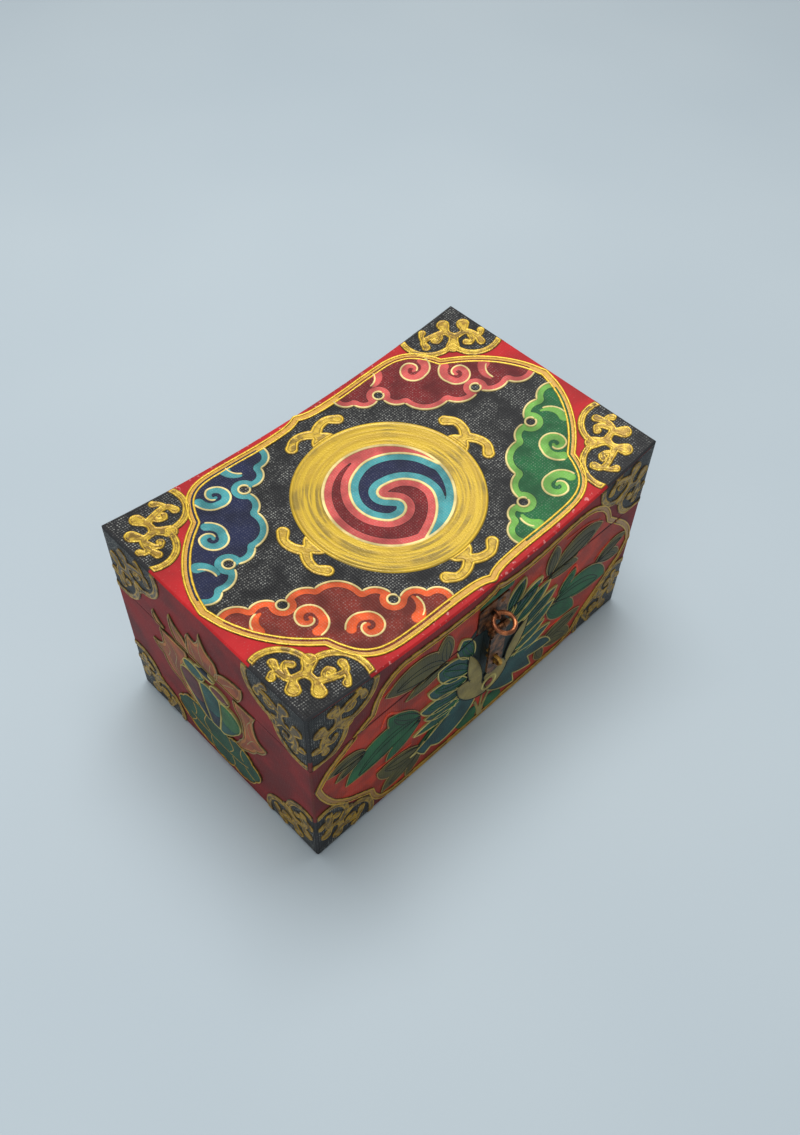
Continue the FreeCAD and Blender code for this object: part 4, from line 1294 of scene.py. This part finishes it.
def board_paint(name, side_colour, top_colour):
    """Maroon sides, a red top where the wood faces up, worn edges, and bare wood on the inside."""
    f = Finish(name)
    place = f.split(f.object)
    facing = f.split(f.normal)[2]
    cloud = f.noise(0.06, 4.0)
    speck = f.noise(1.1, 3.0)
    threads = f.weave()
    upward = f.times(f.band(facing, 0.55, 0.75), f.band(place[2], TOP_FROM * MM, (TOP_FROM + 1) * MM))
    sides = f.mix(f.band(cloud, 0.3, 0.7), shade(side_colour, 0.8), shade(side_colour, 1.15))
    top = f.mix(f.band(cloud, 0.3, 0.7), shade(top_colour, 0.86), shade(top_colour, 1.06))
    colour = f.mix(upward, sides, top)
    worn = f.times(f.band(threads, 0.55, 0.85), f.band(speck, 0.5, 0.75))
    colour = f.mix(f.times(worn, 0.2), colour, RUBBED_RED)
    from_end = f.math("SUBTRACT", HALF_LENGTH * MM, f.math("ABSOLUTE", place[0]))
    from_face = f.math("SUBTRACT", BACK_Y * MM, f.math("ABSOLUTE", place[1]))
    from_edge = f.math("MAXIMUM", from_end, from_face)
    ragged = f.plus(from_edge, f.times(f.math("SUBTRACT", speck, 0.5), 2.2 * MM))
    colour = f.mix(f.times(f.band(ragged, EDGE_WEAR * MM, 0.2 * MM), 0.55), colour, WORN_EDGE)
    scuff = f.times(f.band(f.noise(0.55, 5.0), 0.6, 0.68), f.band(from_face, 7 * MM, 1 * MM))
    colour = f.mix(f.times(f.times(scuff, upward), 0.55), colour, SCUFF)
    from_top = f.times(f.math("SUBTRACT", LID_TOP * MM, place[2]), f.band(facing, 0.45, 0.3))
    from_level = f.math("MINIMUM", from_top, f.math("ABSOLUTE", place[2]))
    farthest = f.math("MAXIMUM", from_edge, from_level)
    nearest = f.math("MINIMUM", f.math("MINIMUM", from_end, from_face), from_level)
    total = f.plus(f.plus(from_end, from_face), from_level)
    middle = f.math("SUBTRACT", f.math("SUBTRACT", total, farthest), nearest)
    corner = f.times(f.band(middle, (BLACK_EDGE + 0.3) * MM, BLACK_EDGE * MM),
                     f.band(farthest, (BLACK_REACH + 1) * MM, BLACK_REACH * MM))
    colour = f.mix(corner, colour, f.mix(f.times(worn, 0.7), EDGE_BLACK, EDGE_RUB))
    in_length = f.band(f.math("ABSOLUTE", place[0]), (INNER_X + 0.1) * MM, (INNER_X - 0.1) * MM)
    in_width = f.band(f.math("ABSOLUTE", place[1]), (INNER_Y + 0.1) * MM, (INNER_Y - 0.1) * MM)
    below_lid = f.band(place[2], (BARE_BELOW + 1) * MM, BARE_BELOW * MM)
    bare = f.times(f.times(in_length, in_width), below_lid)
    grain = f.noise(0.5, 4.0, (0.08, 1, 1))
    planks = f.mix(f.band(grain, 0.3, 0.7), shade(BARE_WOOD, 0.8), shade(BARE_WOOD, 1.15))
    colour = f.mix(bare, colour, planks)
    height = f.plus(f.times(threads, 0.5), f.times(speck, 0.6))
    rough = f.plus(f.times(cloud, 0.2), 0.5)
    return f.done(colour, rough, height, 0.1, shine=0.22)


def metal_finish(name, bright, dark, rough=0.42, metal=0.85):
    """Old metal: dark tarnish broken by bright rubbed patches."""
    f = Finish(name)
    cloud = f.noise(0.35, 5.0)
    fine = f.noise(2.2, 3.0)
    tone = f.mix(f.band(cloud, 0.38, 0.66), dark, bright)
    tone = f.mix(f.times(f.band(fine, 0.52, 0.72), 0.5), tone, shade(dark, 0.7))
    roughness = f.plus(f.times(fine, 0.25), rough - 0.1)
    return f.done(tone, roughness, f.plus(cloud, fine), 0.08, metal)


SIDE_MAROON = (121, 34, 35)
LID_RED = (176, 32, 36)
BOARD = board_paint("box_boards", SIDE_MAROON, LID_RED)
BRONZE = metal_finish("aged_bronze", (140, 92, 58), (50, 36, 28))
COPPER = metal_finish("copper_wire", (196, 122, 78), (120, 72, 48))
BRASS = metal_finish("brass_wire", (214, 168, 84), (140, 100, 48))
for node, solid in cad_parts.items():
    finish = BOARD
    if "hinge" in node or "hasp" in node or "nails" in node:
        finish = BRONZE
    if node.startswith("pull_ring"):
        finish = COPPER
    if node == "hasp_staple":
        finish = BRASS
    solid.data.materials.clear()
    solid.data.materials.append(finish)
print("finishes on", len(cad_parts), "nodes")

# %% [markdown]
# ## Floor
# The box stands on a pale seamless sheet. A large flat square is enough, because its edges lie outside
# the photo's view, and a very wide, faint cloud in its tone keeps it from looking like a plain fill.

# %% Floor
FLOOR_HALF = 2.0
floor_mesh = bpy.data.meshes.new("floor")
corners = [(x * FLOOR_HALF, y * FLOOR_HALF, 0) for x, y in ((-1, -1), (1, -1), (1, 1), (-1, 1))]
floor_mesh.from_pydata(corners, [], [(0, 1, 2, 3)])
floor = bpy.data.objects.new("floor", floor_mesh)
bpy.context.collection.objects.link(floor)
sheet_finish = Finish("pale_sheet")
sheet_tone = sheet_finish.mix(sheet_finish.noise(0.004, 2.0), (169, 183, 192), (184, 196, 202))
floor_mesh.materials.append(sheet_finish.done(sheet_tone, 0.8))
print("floor", 2 * FLOOR_HALF, "m wide")

# %% [markdown]
# ## Light
# Broad soft light falls from above and a little behind, so the lid is the brightest face and the front
# lies in soft shade. A picture of a room could light the scene, but an even white sky and two square
# lamps are easier to set.

# %% Light
SKY_STRENGTH = 0.38
LAMP_SIZE = 0.7
world = bpy.data.worlds.new("soft_room")
world.use_nodes = True
world.node_tree.nodes["Background"].inputs[0].default_value = (1.0, 1.0, 1.0, 1.0)
world.node_tree.nodes["Background"].inputs[1].default_value = SKY_STRENGTH
bpy.context.scene.world = world


def area_light(name, place, aim, power):
    """A square soft light at a place, turned to its aim."""
    data = bpy.data.lights.new(name, "AREA")
    data.size = LAMP_SIZE
    data.energy = power
    lamp = bpy.data.objects.new(name, data)
    lamp.location = place
    lamp.rotation_euler = (Vector(aim) - Vector(place)).to_track_quat("-Z", "Y").to_euler()
    bpy.context.collection.objects.link(lamp)


area_light("overhead_light", (0.12, 0.22, 1.2), (0, 0, 0.08), 12.5)
area_light("left_light", (-0.9, -0.3, 0.6), (0, 0, 0.06), 2.2)
bpy.context.scene.view_settings.view_transform = "Standard"
print(len(bpy.data.lights), "lamps and a sky of", SKY_STRENGTH)

# %% [markdown]
# ## Camera
# The camera looks down on the front left corner. Its place, its turn and its lens were worked out from
# the corners of the real box, so that the picture has the same perspective.

# %% Camera
CAMERA_PLACE = Vector((-0.1962, -0.1980, 0.4084))
CAMERA_AZIMUTH = 45.77
CAMERA_FALL = 52.06
CAMERA_ROLL = 1.91
CAMERA_LENS = 35.19
CAMERA_SENSOR = 36.0
azimuth, fall = math.radians(CAMERA_AZIMUTH), math.radians(CAMERA_FALL)
look = Vector((math.sin(azimuth) * math.cos(fall), math.cos(azimuth) * math.cos(fall), -math.sin(fall)))
camera_data = bpy.data.cameras.new("camera")
camera_data.sensor_fit = "VERTICAL"
camera_data.sensor_height = CAMERA_SENSOR
camera_data.lens = CAMERA_LENS
camera = bpy.data.objects.new("camera", camera_data)
bpy.context.collection.objects.link(camera)
turn = look.to_track_quat("-Z", "Y").to_matrix() @ Matrix.Rotation(math.radians(CAMERA_ROLL), 3, "Z")
camera.matrix_world = Matrix.Translation(CAMERA_PLACE) @ turn.to_4x4()
bpy.context.scene.camera = camera
print("camera looks along", tuple(look))
